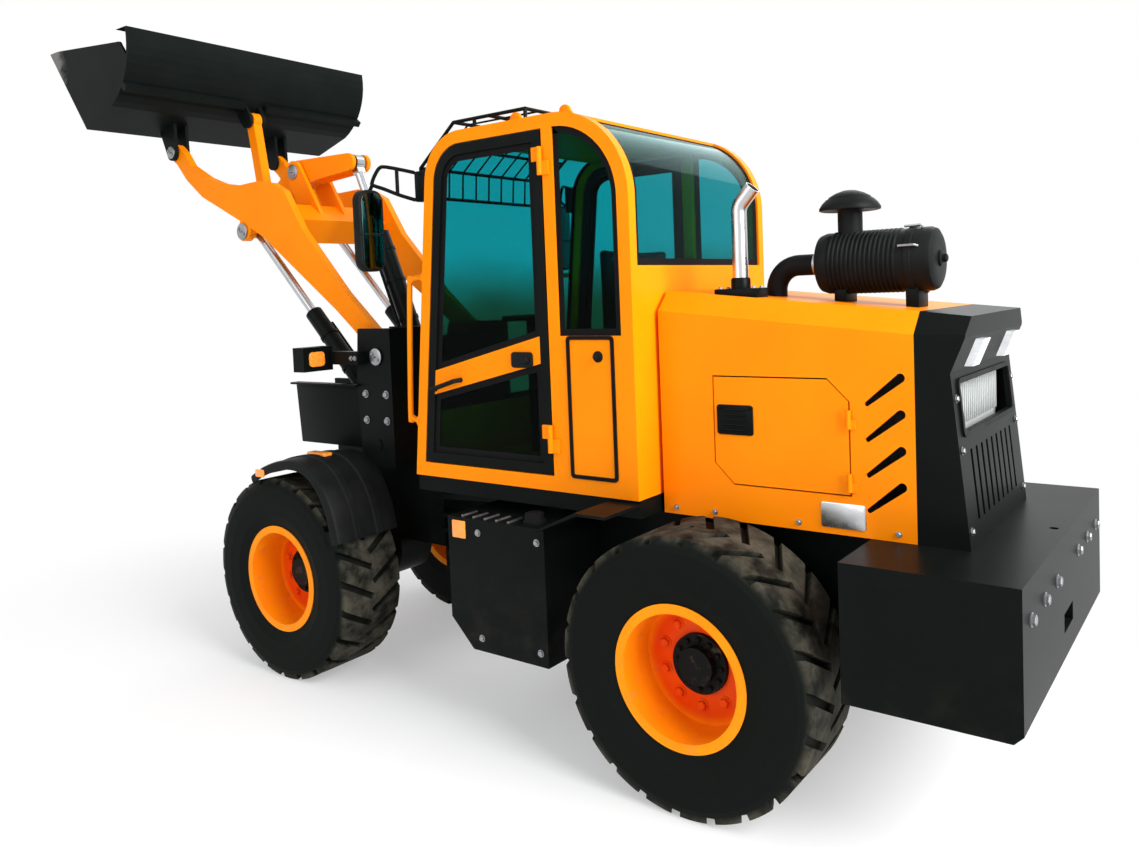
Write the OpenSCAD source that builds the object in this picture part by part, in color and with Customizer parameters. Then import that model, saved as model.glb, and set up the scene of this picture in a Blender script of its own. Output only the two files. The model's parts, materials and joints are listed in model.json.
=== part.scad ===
// Compact articulated wheel loader: rear unit with cab and engine, front unit with Z-bar loader linkage.
// Machine axes: X forward from the articulation axis, Y to the left, Z up from the ground.

/* [Wheels] */
// Distance between the axles
wheelbase = 2450; // [2350:10:2600]
// Distance between the tyre centres of one axle
tread = 1290; // [1270:5:1340]
// Tyre diameter over the lugs
tyre_d = 1075; // [1040:5:1085]
// Tyre section width
tyre_w = 405; // [380:5:410]
// Diameter of the rim flange
rim_d = 566; // [540:2:590]
// Width of the rim over the flanges
rim_w = 366; // [340:2:370]

/* [Rear unit] */
// Width over the frame side plates
frame_w = 680; // [660:10:700]
// Thickness of a frame side plate
frame_t = 40; // [25:1:45]
// Height of the frame's lower edge
frame_low = 640; // [630:5:680]
// Height of the frame's upper edge
frame_top = 1060; // [1050:5:1080]
// Thickness of the deck under the cab
deck_t = 77; // [60:1:90]
// Width of the counterweight
weight_w = 1568; // [1500:4:1620]
// Clearance between the rear tyres and the counterweight
weight_clear = 77.5; // [70:0.5:100]
// Depth of the counterweight's ledge behind the grille
weight_ledge = 225; // [200:5:250]
// Height of the counterweight's lower edge
weight_low = 575; // [540:5:640]
// Distance from the articulation axis to the counterweight's rear face
rear_reach = 2410; // [2400:5:2450]

/* [Cab] */
// Width over the cab sides
cab_w = 1230; // [1180:5:1260]
// Distance from the articulation axis to the cab's front sill
cab_front = 361; // [330:1:370]
// Distance from the articulation axis back to the cab's rear wall
cab_rear = 941; // [930:1:950]
// Height of the cab from floor to roof
cab_h = 1628; // [1580:2:1680]
// Backward lean of the front pillars in degrees
front_lean = 6; // [4:0.5:8]
// Outer radius of the front roof corner
front_r = 230; // [200:5:280]
// Outer radius of the rear roof corner
rear_r = 380; // [320:5:420]
// Width of the cab's side tube, seen from the side
pillar = 58; // [45:1:70]
// Thickness of the cab's side frames
side_t = 50; // [40:1:60]
// Thickness of the window glass
glass_t = 6; // [4:1:8]
// Height of the rear window's lower edge above the floor
belt = 963; // [900:1:1000]

/* [Hood] */
// Width of the engine hood
hood_w = 900; // [860:5:930]
// Height of the hood's top edge at the cab
hood_front_top = 1990; // [1960:5:2030]
// Height of the hood's top edge at the grille
hood_rear_top = 1885; // [1860:5:1920]
// Gap between the cab's rear wall and the hood
hood_gap = 19; // [15:1:30]
// Wall thickness of the hood
hood_t = 15; // [8:1:20]
// Edge chamfer along the hood's top
hood_chamfer = 80; // [50:2:100]
// Depth of the grille housing behind the hood
grille_len = 180; // [150:2:200]

/* [Front unit] */
// Distance from the articulation axis to the tower's rear edge
tower_rear = 675; // [672:1:685]
// Length of the tower's top
tower_len = 250; // [240:5:260]
// Height of the tower
tower_top = 1850; // [1820:5:1880]
// Distance from the articulation axis to the front unit's nose
nose_x = 1420; // [1380:5:1440]
// Height of the nose plates
nose_top = 1550; // [1500:5:1580]
// Thickness of the tower plates
tower_t = 25; // [18:1:28]

/* [Loader arms] */
// Sideways distance of an arm from the centre line
boom_y = 380; // [376:1:384]
// Thickness of an arm plate
arm_t = 45; // [36:1:50]
// Length of an arm from pivot to bucket pin
boom_len = 2341; // [2280:1:2400]
// Angle of the arms above the horizontal, as parked
boom_rest = 34; // [30:0.5:38]
// Arm pivot, forward of the articulation axis
boom_x = 780; // [770:1:790]
// Height of the arm pivot
boom_z = 1700; // [1680:2:1720]
// Radius of the arm pivot pins
boom_pin_r = 35; // [30:1:40]

/* [Bucket] */
// Width of the bucket
bucket_w = 1760; // [1720:5:1820]
// Length of the bucket floor with its cutting edge
bucket_floor = 680; // [620:5:720]
// Angle of the bucket floor above the horizontal, as parked
bucket_rest = 52; // [46:0.5:56]
// Thickness of the bucket shell
bucket_t = 16; // [10:1:20]
// Radius of the curved bucket back
bucket_r = 400; // [380:5:420]

/* [Cylinders] */
// Outer diameter of a lift cylinder barrel
lift_d = 100; // [80:2:104]
// Diameter of a lift cylinder rod
lift_rod_d = 50; // [40:1:60]
// Outer diameter of the tilt cylinder barrel
tilt_d = 110; // [90:2:120]
// Diameter of the tilt cylinder rod
tilt_rod_d = 56; // [45:1:64]
// Outer diameter of a steering cylinder barrel
steer_d = 76; // [60:2:80]
// Diameter of a steering cylinder rod
steer_rod_d = 40; // [30:1:45]

/* [Hidden] */
$fn = 64;
// Running gap of a pin in its bore and of a moving face beside its seat
pin_gap = 0.3;
gap = 6;
// Overrun of a cut past the faces it cuts
over = 20;
// Smallest wall used for skins and trims
skin = 4;

// Colours
yellow = [1.0, 0.62, 0.02];
black = [0.06, 0.06, 0.07];
rubber = [0.05, 0.05, 0.05];
glass = [0.1, 0.25, 0.3, 0.5];
steel = [0.75, 0.76, 0.78];

// Main places worked out from the driving sizes
axle_x = wheelbase / 2;
axle_z = tyre_d / 2;
floor_z = frame_top + deck_t;
roof_z = floor_z + cab_h;
cab_y = cab_w / 2;
cab_in = cab_y - side_t;
hood_front = -cab_rear - hood_gap;
grille_rear = weight_ledge - rear_reach;
hood_rear = grille_rear + grille_len;
hood_len = hood_front - hood_rear;
weight_front = -axle_x - tyre_d / 2 - weight_clear;

// Unit vectors of the parked arm: along the pivot line and square to it
arm_e = [cos(boom_rest), sin(boom_rest)];
arm_n = [-sin(boom_rest), cos(boom_rest)];
boom_p = [boom_x, boom_z];
function on_arm(share) = boom_p + boom_len * (share[0] * arm_e + share[1] * arm_n);

// Bucket pins in the level bucket frame: X forward from the heel, Z up from the floor
bucket_pin = [-200, 60];
bucket_link_pin = [-207, 419];
bucket_e = [cos(bucket_rest), sin(bucket_rest)];
bucket_n = [-sin(bucket_rest), cos(bucket_rest)];
bucket_q = on_arm([1, 0]);
bucket_heel = bucket_q - bucket_pin[0] * bucket_e - bucket_pin[1] * bucket_n;
function on_bucket(p) = bucket_heel + p[0] * bucket_e + p[1] * bucket_n;
front_reach = on_bucket([bucket_floor, 0])[0];

// The drawing origin is the middle of the parked machine's length, on the ground
centre_x = (front_reach - rear_reach) / 2;

// Z-bar linkage pins, parked
rocker_share = [0.6647, 0.129];
rocker_r = on_arm(rocker_share);
rocker_rear_share = [0.4979, 0.248];
rocker_s = on_arm(rocker_rear_share);
rocker_front_share = [0.7557, -0.0536];
rocker_f = on_arm(rocker_front_share);
link_t = on_bucket(bucket_link_pin);
tilt_back = [170, -10];
tilt_g = boom_p + tilt_back;

// Lift cylinder pins, parked
lift_drop = [20, -470];
lift_a = boom_p + lift_drop;
lift_share = [0.617, -0.03];
lift_b = on_arm(lift_share);

// Steering cylinder pins in plan, left side
steer_base = [-230, 230];
steer_eye = [330, 235];
steer_z = 800;

// Draws a side outline, given in X and Z, between two sideways positions
module side_plate(y0, y1) {
    translate([0, y1, 0]) rotate([90, 0, 0]) linear_extrude(height = y1 - y0) children();
}

// A round bar across the machine, at a point in X and Z
module cross_bar(at, r, y0, y1) {
    translate([at[0], y1, at[1]]) rotate([90, 0, 0]) cylinder(r = r, h = y1 - y0);
}

// A round bar between two points
module tube(a, b, r) {
    d = b - a;
    reach = norm(d);
    translate(a) rotate([0, acos(d[2] / reach), atan2(d[1], d[0])]) cylinder(r = r, h = reach);
}

// A block given by its two corners
module block(low, high) {
    translate(low) cube(high - low);
}

module both_sides() {
    children();
    mirror([0, 1, 0]) children();
}

module one_side(side) {
    if (side > 0) children();
    else mirror([0, 1, 0]) children();
}

// Flat bar outline with round ends between two points
module strap(a, b, ra, rb) {
    d = b - a;
    u = d / norm(d);
    n = [-u[1], u[0]];
    polygon([a + n * ra, a - n * ra, b - n * rb, b + n * rb]);
    translate(a) circle(r = ra);
    translate(b) circle(r = rb);
}

// Wheels
rim_wall = 12;
rim_lip = 26;
disc_t = 22;
hub_r = 118;
hub_out = 20;
hub_in = 80;
spindle_r = 62;
shoulder_drop = 52;
shoulder_in = 26;
bead_in = 22;
seat_gap = 1;
bead_r = rim_d / 2 - rim_lip;
hub_face = tread / 2 - disc_t - hub_in - gap;
cover_r = 74;
cover_h = 34;

// Tread: two rows of blocks parted by slanted grooves
tyre_facets = 22;
block_count = 22;
tread_depth = 30;
groove_w = 32;
groove_lean = 30;

// Tyre section in radius and axle direction, out to the lug tips
module tyre_section() {
    half = tyre_w / 2;
    top = tyre_d / 2;
    bulge = (bead_r + top) / 2;
    polygon([
        [bead_r, -rim_w / 2 + bead_in + seat_gap], [rim_d / 2 + skin, -rim_w / 2 + skin],
        [bulge - shoulder_drop, -half + skin], [bulge + shoulder_in, -half],
        [top - shoulder_drop, -half + skin], [top, -half + shoulder_in],
        [top, half - shoulder_in], [top - shoulder_drop, half - skin],
        [bulge + shoulder_in, half], [bulge - shoulder_drop, half - skin],
        [rim_d / 2 + skin, rim_w / 2 - skin], [bead_r, rim_w / 2 - bead_in - seat_gap]
    ]);
}

// One groove runs from the middle of the tread out through a shoulder
module tread_groove() {
    half = tyre_w / 2;
    top = tyre_d / 2;
    reach = half / cos(groove_lean);
    translate([0, 0, half / 2]) rotate([-groove_lean, 0, 0])
        block([top - tread_depth, -groove_w / 2, -reach / 2], [top + over, groove_w / 2, reach / 2 + over]);
}

module tyre() {
    pitch = 360 / block_count;
    color(rubber) difference() {
        rotate_extrude($fn = tyre_facets) tyre_section();
        for (i = [0 : block_count - 1]) {
            rotate(i * pitch) tread_groove();
            rotate((i + 0.5) * pitch) mirror([0, 0, 1]) tread_groove();
        }
    }
}

// Rim barrel, dished disc and hub with its blind bore for the spindle
module rim() {
    barrel_r = bead_r - pin_gap;
    half = rim_w / 2;
    seat = half - bead_in - pin_gap;
    color(yellow) difference() {
        union() {
            rotate_extrude() polygon([
                [barrel_r - rim_wall, -half], [barrel_r, -half], [rim_d / 2, -half],
                [rim_d / 2, -half + skin], [barrel_r, -seat], [barrel_r, seat],
                [rim_d / 2, half - skin], [rim_d / 2, half], [barrel_r, half],
                [barrel_r - rim_wall, half]
            ]);
            translate([0, 0, -disc_t]) cylinder(r = barrel_r - rim_wall / 2, h = disc_t);
            translate([0, 0, -disc_t - hub_in]) cylinder(r = hub_r, h = hub_in + disc_t + hub_out);
            translate([0, 0, hub_out]) cylinder(r = cover_r, h = cover_h);
        }
        translate([0, 0, -disc_t - hub_in - over])
            cylinder(r = spindle_r + pin_gap, h = hub_in + over + gap);
    }
}

module at_wheel(end, side) {
    translate([end * axle_x, side * tread / 2, axle_z]) rotate([-90 * side, 0, 0]) children();
}

// Axles: housing tube, differential bowl, frame seats and spindles
axle_tube_r = 78;
diff_r = 175;
diff_len = 240;
seat_len = 160;

module axle(seat_top, seat_out) {
    color(black) {
        cross_bar([0, axle_z], axle_tube_r, -hub_face, hub_face);
        cross_bar([0, axle_z], diff_r, -diff_len / 2, diff_len / 2);
        both_sides() {
            cross_bar([0, axle_z], spindle_r, hub_face - gap, hub_face + gap + hub_in);
            block([-seat_len / 2, seat_out - frame_t, axle_z], [seat_len / 2, seat_out, seat_top]);
        }
    }
}

module rear_axle() {
    translate([-axle_x, 0, 0]) axle(frame_low, frame_w / 2);
}

module front_axle() {
    translate([axle_x, 0, 0]) axle(chassis_low, chassis_y);
}

// Rear frame with deck, articulation tongues and steering cylinder forks
hitch_r = 110;
hitch_pin_r = 40;
tongue_t = 45;
tongue_low = 560;
tongue_high = 950;
hitch_x = 330;
cross_t = 40;
deck_in = 15;
deck_y = cab_y - deck_in;
fork_r = 45;
fork_t = 20;
steer_pin_r = 18;
steer_eye_w = 50;

module tongue(z) {
    translate([0, 0, z]) linear_extrude(height = tongue_t) difference() {
        union() {
            circle(r = hitch_r);
            polygon([
                [0, -hitch_r], [0, hitch_r], [-hitch_x, frame_w / 2], [-hitch_x, -frame_w / 2]
            ]);
        }
        circle(r = hitch_pin_r + pin_gap);
    }
}

// Two flat lugs above and below a steering cylinder eye, reaching back to a plate
module fork(at, root_x) {
    for (s = [-1, 1]) translate([0, 0, steer_z + s * (steer_eye_w / 2 + gap + fork_t / 2) - fork_t / 2])
        linear_extrude(height = fork_t) union() {
            translate(at) circle(r = fork_r);
            translate([min(at[0], root_x), at[1] - fork_r]) square([abs(at[0] - root_x), 2 * fork_r]);
        }
}

module rear_frame() {
    half = frame_w / 2;
    fork_h = steer_eye_w + 2 * gap + 2 * fork_t;
    color(black) {
        both_sides() block([weight_front, half - frame_t, frame_low], [-hitch_x, half, frame_top]);
        block([-hitch_x - cross_t, -half, tongue_low], [-hitch_x, half, frame_top]);
        block([weight_front, -half, frame_low], [weight_front + cross_t, half, frame_top]);
        tongue(tongue_low);
        tongue(tongue_high);
        block([-cab_rear, -deck_y, frame_top], [cab_front, deck_y, floor_z]);
        both_sides() {
            fork(steer_base, -hitch_x);
            translate([steer_base[0], steer_base[1], steer_z - fork_h / 2]) cylinder(r = steer_pin_r, h = fork_h);
        }
    }
}

// Counterweight: heavy cast box with a bevelled lower rear edge and a tow pin hole
weight_bevel = 30;
tow_slot = [70, 90];
tow_z = 700;
tow_pin_r = 16;
tow_pin_in = 45;

module counterweight() {
    color(black) difference() {
        side_plate(-weight_w / 2, weight_w / 2) polygon([
            [weight_front, weight_low], [-rear_reach + weight_bevel, weight_low],
            [-rear_reach, weight_low + weight_bevel], [-rear_reach, frame_top],
            [weight_front, frame_top]
        ]);
        block([-rear_reach - over, -tow_slot[1], tow_z], [-rear_reach + tow_slot[1], tow_slot[1], tow_z + tow_slot[0]]);
        translate([-rear_reach + tow_pin_in, 0, weight_low - over])
            cylinder(r = tow_pin_r, h = frame_top - weight_low + 2 * over);
    }
}

// Tanks hung on the frame sides
tank_y = 750;
tank_front = 25;
tank_rear = -540;
tank_low = 400;
tank_high = 1000;
tank_bevel = 130;
steer_clear = 60;

// Beside the swinging steering cylinder the inner wall stands back
module tank() {
    color(black) difference() {
        side_plate(frame_w / 2, tank_y) polygon([
            [tank_rear, tank_low], [tank_front - tank_bevel, tank_low],
            [tank_front, tank_low + tank_bevel], [tank_front, tank_high], [tank_rear, tank_high]
        ]);
        block([-hitch_x, frame_w / 2 - over, tank_low - over],
              [tank_front + over, frame_w / 2 + steer_clear, tank_high + over]);
    }
}

module fuel_tank() {
    tank();
}

module hydraulic_tank() {
    mirror([0, 1, 0]) tank();
}

// Rear fenders: bent plate from the deck side down to the tank top
fender_t = 12;
fender_drop = 12;
fender_y = 860;
fender_bend = 150;
foot_len = 15;

module rear_fenders() {
    top = floor_z - fender_drop;
    bend = -cab_rear + fender_bend;
    color(black) both_sides() side_plate(deck_y, fender_y) polygon([
        [-cab_rear, top - fender_t], [-cab_rear, top], [bend, top],
        [tank_rear + foot_len, tank_high], [tank_rear, tank_high], [bend - fender_t / 2, top - fender_t]
    ]);
}

// Cab outline, drawn in from its outer face by a margin
lean_v = [cos(front_lean), sin(front_lean)];
front_c = [cab_front - tan(front_lean) * (cab_h - front_r) - front_r / cos(front_lean), roof_z - front_r];
rear_c = [-cab_rear + rear_r, roof_z - rear_r];
function pillar_x(z) = front_c[0] + front_r * lean_v[0] + (front_c[1] + front_r * lean_v[1] - z) * tan(front_lean);

module cab_outline(inset) {
    low = floor_z + inset;
    fr = front_r - inset;
    rr = rear_r - inset;
    tangent = front_c + fr * lean_v;
    foot = tangent[0] + (tangent[1] - low) * tan(front_lean);
    polygon([
        [foot, low], tangent, front_c, [front_c[0], front_c[1] + fr],
        [rear_c[0], rear_c[1] + rr], rear_c, [rear_c[0] - rr, rear_c[1]],
        [rear_c[0] - rr, low]
    ]);
    translate(front_c) circle(r = fr);
    translate(rear_c) circle(r = rr);
}

hinge_post = [-560, -505];
sill = 66;
panel_h = 678;
wall_t = 40;
roof_rear = -700;
roof_front = 40;
cowl_h = 300;
glass_in = 12;

// Opening of one side frame: door ahead of the hinge post, quarter window behind it
module door_opening(margin) {
    intersection() {
        cab_outline(pillar + margin);
        translate([hinge_post[1] + margin, floor_z + sill + margin]) square([cab_rear + cab_front, cab_h]);
    }
}

module quarter_opening() {
    intersection() {
        cab_outline(pillar);
        translate([-cab_rear, floor_z + panel_h]) square([cab_rear + hinge_post[0], cab_h]);
    }
}

module cab_band(inner, outer) {
    difference() {
        cab_outline(outer);
        cab_outline(inner);
    }
}

// Solid stretches of the cab's wrap-round skin: roof, rear wall, cowl and floor
module skin_stretches() {
    translate([roof_rear, roof_z - rear_r]) square([roof_front - roof_rear, rear_r]);
    translate([-cab_rear, floor_z]) square([rear_r, belt]);
    translate([0, floor_z]) square([cab_front, cowl_h]);
    translate([-cab_rear, floor_z]) square([cab_rear + cab_front, wall_t]);
}

// Door hinges: knuckles on an axis just outside the cab side
knuckle_r = 12;
knuckle_len = 60;
leaf = 44;
hinge_off = [3, 14];
hinge_up = [170, 1370];
hinge_axis = [hinge_post[1] + hinge_off[0], cab_y + hinge_off[1]];
hinge_z = [for (up = hinge_up) floor_z + up];

// Side frames with the fixed hinge knuckles
module cab_frame() {
    color(yellow) both_sides() {
        side_plate(cab_in, cab_y) difference() {
            cab_outline(0);
            door_opening(0);
            quarter_opening();
        }
        for (z = hinge_z) {
            translate([hinge_axis[0], hinge_axis[1], z]) cylinder(r = knuckle_r, h = knuckle_len);
            block([hinge_axis[0] - leaf, cab_y, z], [hinge_axis[0], hinge_axis[1], z + knuckle_len]);
        }
    }
}

// Roof, rear wall, floor and cowl between the side frames
module cab_shell() {
    color(yellow) side_plate(-cab_in, cab_in) intersection() {
        cab_band(wall_t, 0);
        skin_stretches();
    }
}

module cab_glass() {
    color(glass) {
        side_plate(-cab_in, cab_in) difference() {
            cab_band(glass_in + glass_t, glass_in);
            skin_stretches();
        }
        both_sides() side_plate(cab_y - glass_in - glass_t, cab_y - glass_in) quarter_opening();
    }
}

// Doors: black frame, slanted yellow bar and glass, one set per side
door_frame_w = 46;
bar_front = [364, 474];
bar_rear = [570, 690];
door_in = 8;

module door_bar_outline() {
    polygon([
        [hinge_post[1], floor_z + bar_rear[0]], [cab_front, floor_z + bar_front[0]],
        [cab_front, floor_z + bar_front[1]], [hinge_post[1], floor_z + bar_rear[1]]
    ]);
}

module door_inner() {
    door_opening(gap + door_frame_w);
}

module door(side) {
    one_side(side) color(black) side_plate(cab_in + door_in, cab_y) difference() {
        door_opening(gap);
        door_inner();
    }
}

module door_bar(side) {
    one_side(side) color(yellow) {
        side_plate(cab_in + door_in, cab_y) intersection() {
            door_inner();
            door_bar_outline();
        }
        for (z = hinge_z) translate([0, 0, knuckle_len + pin_gap]) {
            translate([hinge_axis[0], hinge_axis[1], z]) cylinder(r = knuckle_r, h = knuckle_len);
            block([hinge_axis[0], cab_y, z], [hinge_axis[0] + leaf, hinge_axis[1], z + knuckle_len]);
        }
    }
}

module door_glass(side) {
    one_side(side) color(glass)
        side_plate(cab_y - glass_in - glass_t, cab_y - glass_in) difference() {
            door_inner();
            door_bar_outline();
        }
}

// Roof guard: bars that follow the front roof corner, on feet
guard_stand = 46;
guard_bar = 14;
guard_y = 500;
guard_bars = 9;
guard_low = 90;
guard_rear = -330;
guard_rungs = 4;
rung_r = 5;

module guard_line() {
    intersection() {
        cab_band(-guard_stand, -guard_stand - guard_bar);
        union() {
            translate([guard_rear, roof_z - front_r]) square([cab_front - guard_rear, 2 * front_r]);
            translate([front_c[0], front_c[1] - guard_low]) square([cab_front, 2 * front_r]);
        }
    }
}

module roof_guard() {
    step = 2 * guard_y / (guard_bars - 1);
    color(black) {
        for (i = [0 : guard_bars - 1])
            side_plate(-guard_y + i * step - guard_bar / 2, -guard_y + i * step + guard_bar / 2) guard_line();
        for (i = [0 : guard_rungs]) {
            a = 90 - i * (90 - front_lean) / guard_rungs;
            cross_bar(front_c + (front_r + guard_stand + guard_bar / 2) * [cos(a), sin(a)], rung_r, -guard_y, guard_y);
        }
        both_sides() for (x = [guard_rear, front_c[0] - guard_bar])
            block([x, guard_y - guard_bar / 2, roof_z],
                  [x + guard_bar, guard_y + guard_bar / 2, roof_z + guard_stand + guard_bar / 2]);
    }
}

// Operator's seat, steering column and console, on the cab floor
inside_z = floor_z + wall_t;
seat_x = -560;
seat_half = 250;
seat_base_h = 330;
cushion_h = 120;
cushion_len = 480;
back_h = 560;
back_t = 110;

module seat() {
    cushion_z = inside_z + seat_base_h;
    color(black) {
        block([seat_x + back_t, -seat_half / 2, inside_z], [seat_x + cushion_len - back_t, seat_half / 2, cushion_z]);
        block([seat_x, -seat_half, cushion_z], [seat_x + cushion_len, seat_half, cushion_z + cushion_h]);
        block([seat_x - back_t / 2, -seat_half, cushion_z + cushion_h],
              [seat_x + back_t / 2, seat_half, cushion_z + cushion_h + back_h]);
    }
}

column_r = 27;
column_h = 700;
wheel_r = 155;
wheel_bar = 13;
wheel_gap = 12;
column_x = pillar_x(inside_z + column_h) - glass_in - glass_t - wheel_gap - wheel_r;

module steering_column() {
    color(black) translate([column_x, 0, inside_z]) {
        cylinder(r = column_r, h = column_h);
        translate([0, 0, column_h]) {
            rotate_extrude() translate([wheel_r - wheel_bar, 0]) circle(r = wheel_bar);
            for (a = [0, 90]) rotate(a) block([-wheel_r + wheel_bar, -wheel_bar, -wheel_bar / 2],
                [wheel_r - wheel_bar, wheel_bar, wheel_bar / 2]);
        }
    }
}

console_x = -480;
console_len = 420;
console_y = [-480, -300];
console_h = 520;
lever_shares = [0.6, 0.85];
lever_r = 9;
lever_h = 240;
knob_r = 22;

module console() {
    color(black) {
        block([console_x, console_y[0], inside_z], [console_x + console_len, console_y[1], inside_z + console_h]);
        for (share = lever_shares)
            translate([console_x + console_len * share, (console_y[0] + console_y[1]) / 2, inside_z + console_h]) {
                cylinder(r = lever_r, h = lever_h);
                translate([0, 0, lever_h]) sphere(r = knob_r);
            }
    }
}

// A foot plate that lies on the leaning front face of a cab pillar
mount_t = 12;
mount_h = 60;
mount_side = 8;
mount_y = [cab_in + mount_side, cab_y - mount_side];

module pillar_mount(z) {
    z0 = z - mount_h / 2;
    z1 = z + mount_h / 2;
    side_plate(mount_y[0], mount_y[1]) polygon([
        [pillar_x(z0), z0], [pillar_x(z0) + mount_t, z0], [pillar_x(z1) + mount_t, z1], [pillar_x(z1), z1]
    ]);
}

// Mirrors on bracket arms ahead of the front pillars
mirror_arm_r = 11;
mirror_y = 750;
mirror_fwd = 80;
mirror_size = [50, 150, 390];
mirror_top = 1390;
mirror_arms = [1250, 1360];
mirror_r = 55;

module mirror_outline() {
    half = [mirror_size[1], mirror_size[2]] / 2;
    inner = half - [mirror_r, mirror_r];
    square(2 * [half[0], inner[1]], center = true);
    square(2 * [inner[0], half[1]], center = true);
    for (x = [-1, 1], y = [-1, 1]) translate([x * inner[0], y * inner[1]]) circle(r = mirror_r);
}

module mirrors() {
    y0 = (mount_y[0] + mount_y[1]) / 2;
    x1 = cab_front + mirror_fwd;
    color(black) both_sides() {
        for (h = mirror_arms) {
            z = floor_z + h;
            pillar_mount(z);
            tube([pillar_x(z) + mount_t / 2, y0, z], [x1, mirror_y, z], mirror_arm_r);
        }
        translate([x1, mirror_y, floor_z + mirror_top - mirror_size[2] / 2]) rotate([90, 0, 90])
            linear_extrude(height = mirror_size[0]) mirror_outline();
    }
}

// Grab rails ahead of the front pillars
rail_r = 14;
rail_stub_r = 12;
rail_h = [263, 963];
rail_out = 54;
rail_x = cab_front + rail_out;

module grab_rails() {
    y0 = (mount_y[0] + mount_y[1]) / 2;
    color(yellow) both_sides() {
        tube([rail_x, y0, floor_z + rail_h[0] - rail_r], [rail_x, y0, floor_z + rail_h[1] + rail_r], rail_r);
        for (h = rail_h) {
            pillar_mount(floor_z + h);
            tube([pillar_x(floor_z + h) + mount_t / 2, y0, floor_z + h], [rail_x, y0, floor_z + h], rail_stub_r);
        }
    }
}

// Engine hood: chamfered shell, open below and to the grille, with side doors and slanted slots
panel_front_share = 0.2344;
panel_rear_share = 0.7751;
slot_from_share = 0.8344;
slot_to_share = 0.9522;
panel_front = hood_len * panel_front_share;
panel_rear = hood_len * panel_rear_share;
panel_low = 147;
panel_high = 585;
panel_cut = 85;
slot_from = hood_len * slot_from_share;
slot_to = hood_len * slot_to_share;
slot_rise = 98;
slot_low = 100;
slot_step = 131;
slots = 4;
slot_r = [9, 17];
hood_slope = (hood_front_top - hood_rear_top) / hood_len;
function hood_top(x) = hood_rear_top + (x - hood_rear) * hood_slope;
function hood_at(back, up) = [hood_front - back, frame_top + up];

module hood_solid(inset, reach) {
    half = hood_w / 2 - inset;
    x0 = hood_rear - reach;
    x1 = hood_front - inset;
    difference() {
        side_plate(-half, half) polygon([
            [x1, frame_top - reach], [x1, hood_top(x1) - inset], [x0, hood_top(x0) - inset], [x0, frame_top - reach]
        ]);
        both_sides() translate([x0, half, hood_top(x0) - inset]) rotate([0, -atan(hood_slope), 0]) rotate([-45, 0, 0])
            translate([-hood_len, -hood_w / 2, -hood_chamfer / sqrt(2)]) cube([3 * hood_len, hood_w, hood_w]);
    }
}

module panel_outline(margin) {
    polygon([
        hood_at(panel_rear - margin, panel_low + margin), hood_at(panel_front + panel_cut, panel_low + margin),
        hood_at(panel_front + margin, panel_low + panel_cut), hood_at(panel_front + margin, panel_high - margin),
        hood_at(panel_rear - panel_cut, panel_high - margin), hood_at(panel_rear - margin, panel_high - panel_cut)
    ]);
}

// Hood door hinges: knuckles on an axis just outside the hood side
panel_knuckle_r = 9;
panel_knuckle_len = 34;
panel_leaf = 26;
panel_off = 3;
panel_hinge_up = [165, 400];
panel_axis = [hood_front - panel_rear + panel_off, hood_w / 2 + panel_knuckle_r];
panel_hinge_z = [for (up = panel_hinge_up) frame_top + up];

module hood() {
    half = hood_w / 2;
    color(yellow) {
        difference() {
            hood_solid(0, 0);
            hood_solid(hood_t, over);
            both_sides() side_plate(half - hood_t - over, half + over) {
                panel_outline(0);
                for (i = [0 : slots - 1]) strap(hood_at(slot_from, slot_low + i * slot_step),
                    hood_at(slot_to, slot_low + slot_rise + i * slot_step), slot_r[0], slot_r[1]);
            }
        }
        both_sides() for (z = panel_hinge_z) {
            translate([panel_axis[0], panel_axis[1], z]) cylinder(r = panel_knuckle_r, h = panel_knuckle_len);
            block([panel_axis[0] - panel_leaf, half, z], [panel_axis[0], panel_axis[1], z + panel_knuckle_len]);
        }
    }
}

module hood_door(side) {
    half = hood_w / 2;
    one_side(side) color(yellow) {
        side_plate(half - hood_t, half) panel_outline(gap);
        for (z = panel_hinge_z) translate([0, 0, panel_knuckle_len + pin_gap]) {
            translate([panel_axis[0], panel_axis[1], z]) cylinder(r = panel_knuckle_r, h = panel_knuckle_len);
            block([panel_axis[0], half, z], [panel_axis[0] + panel_leaf, panel_axis[1], z + panel_knuckle_len]);
        }
    }
}

// Grille housing behind the hood: visor, recessed radiator window and slotted lower panel
visor_lip = 20;
visor_drop = 92;
recess = 59;
recess_z = 215;
window_z = [397, 569];
window_side = 80;
window_y = hood_w / 2 - window_side;
vent_z = [80, 330];
vent_side = 150;
vent_y = hood_w / 2 - vent_side;
vent_w = 26;
vents = 9;
lip_in = 8;
grille_lip = [grille_rear + lip_in, hood_rear_top - visor_drop];
grille_notch = [grille_rear + recess, hood_rear_top - recess_z];

module grille_side(inset, reach) {
    polygon([
        [hood_rear + reach, frame_top - reach], [hood_rear + reach, hood_rear_top - inset],
        [hood_rear, hood_rear_top - inset], [grille_rear + inset, hood_rear_top - visor_lip - inset],
        grille_lip + [inset, 0], grille_notch + [inset, 0], [grille_rear + inset, frame_top - reach]
    ]);
}

module grille_solid(inset, reach) {
    half = hood_w / 2 - inset;
    difference() {
        side_plate(-half, half) grille_side(inset, reach);
        both_sides() translate([hood_rear, half, hood_rear_top - inset]) rotate([-45, 0, 0])
            translate([-2 * grille_len, -hood_w / 2, -hood_chamfer / sqrt(2)]) cube([4 * grille_len, hood_w, hood_w]);
    }
}

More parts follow.
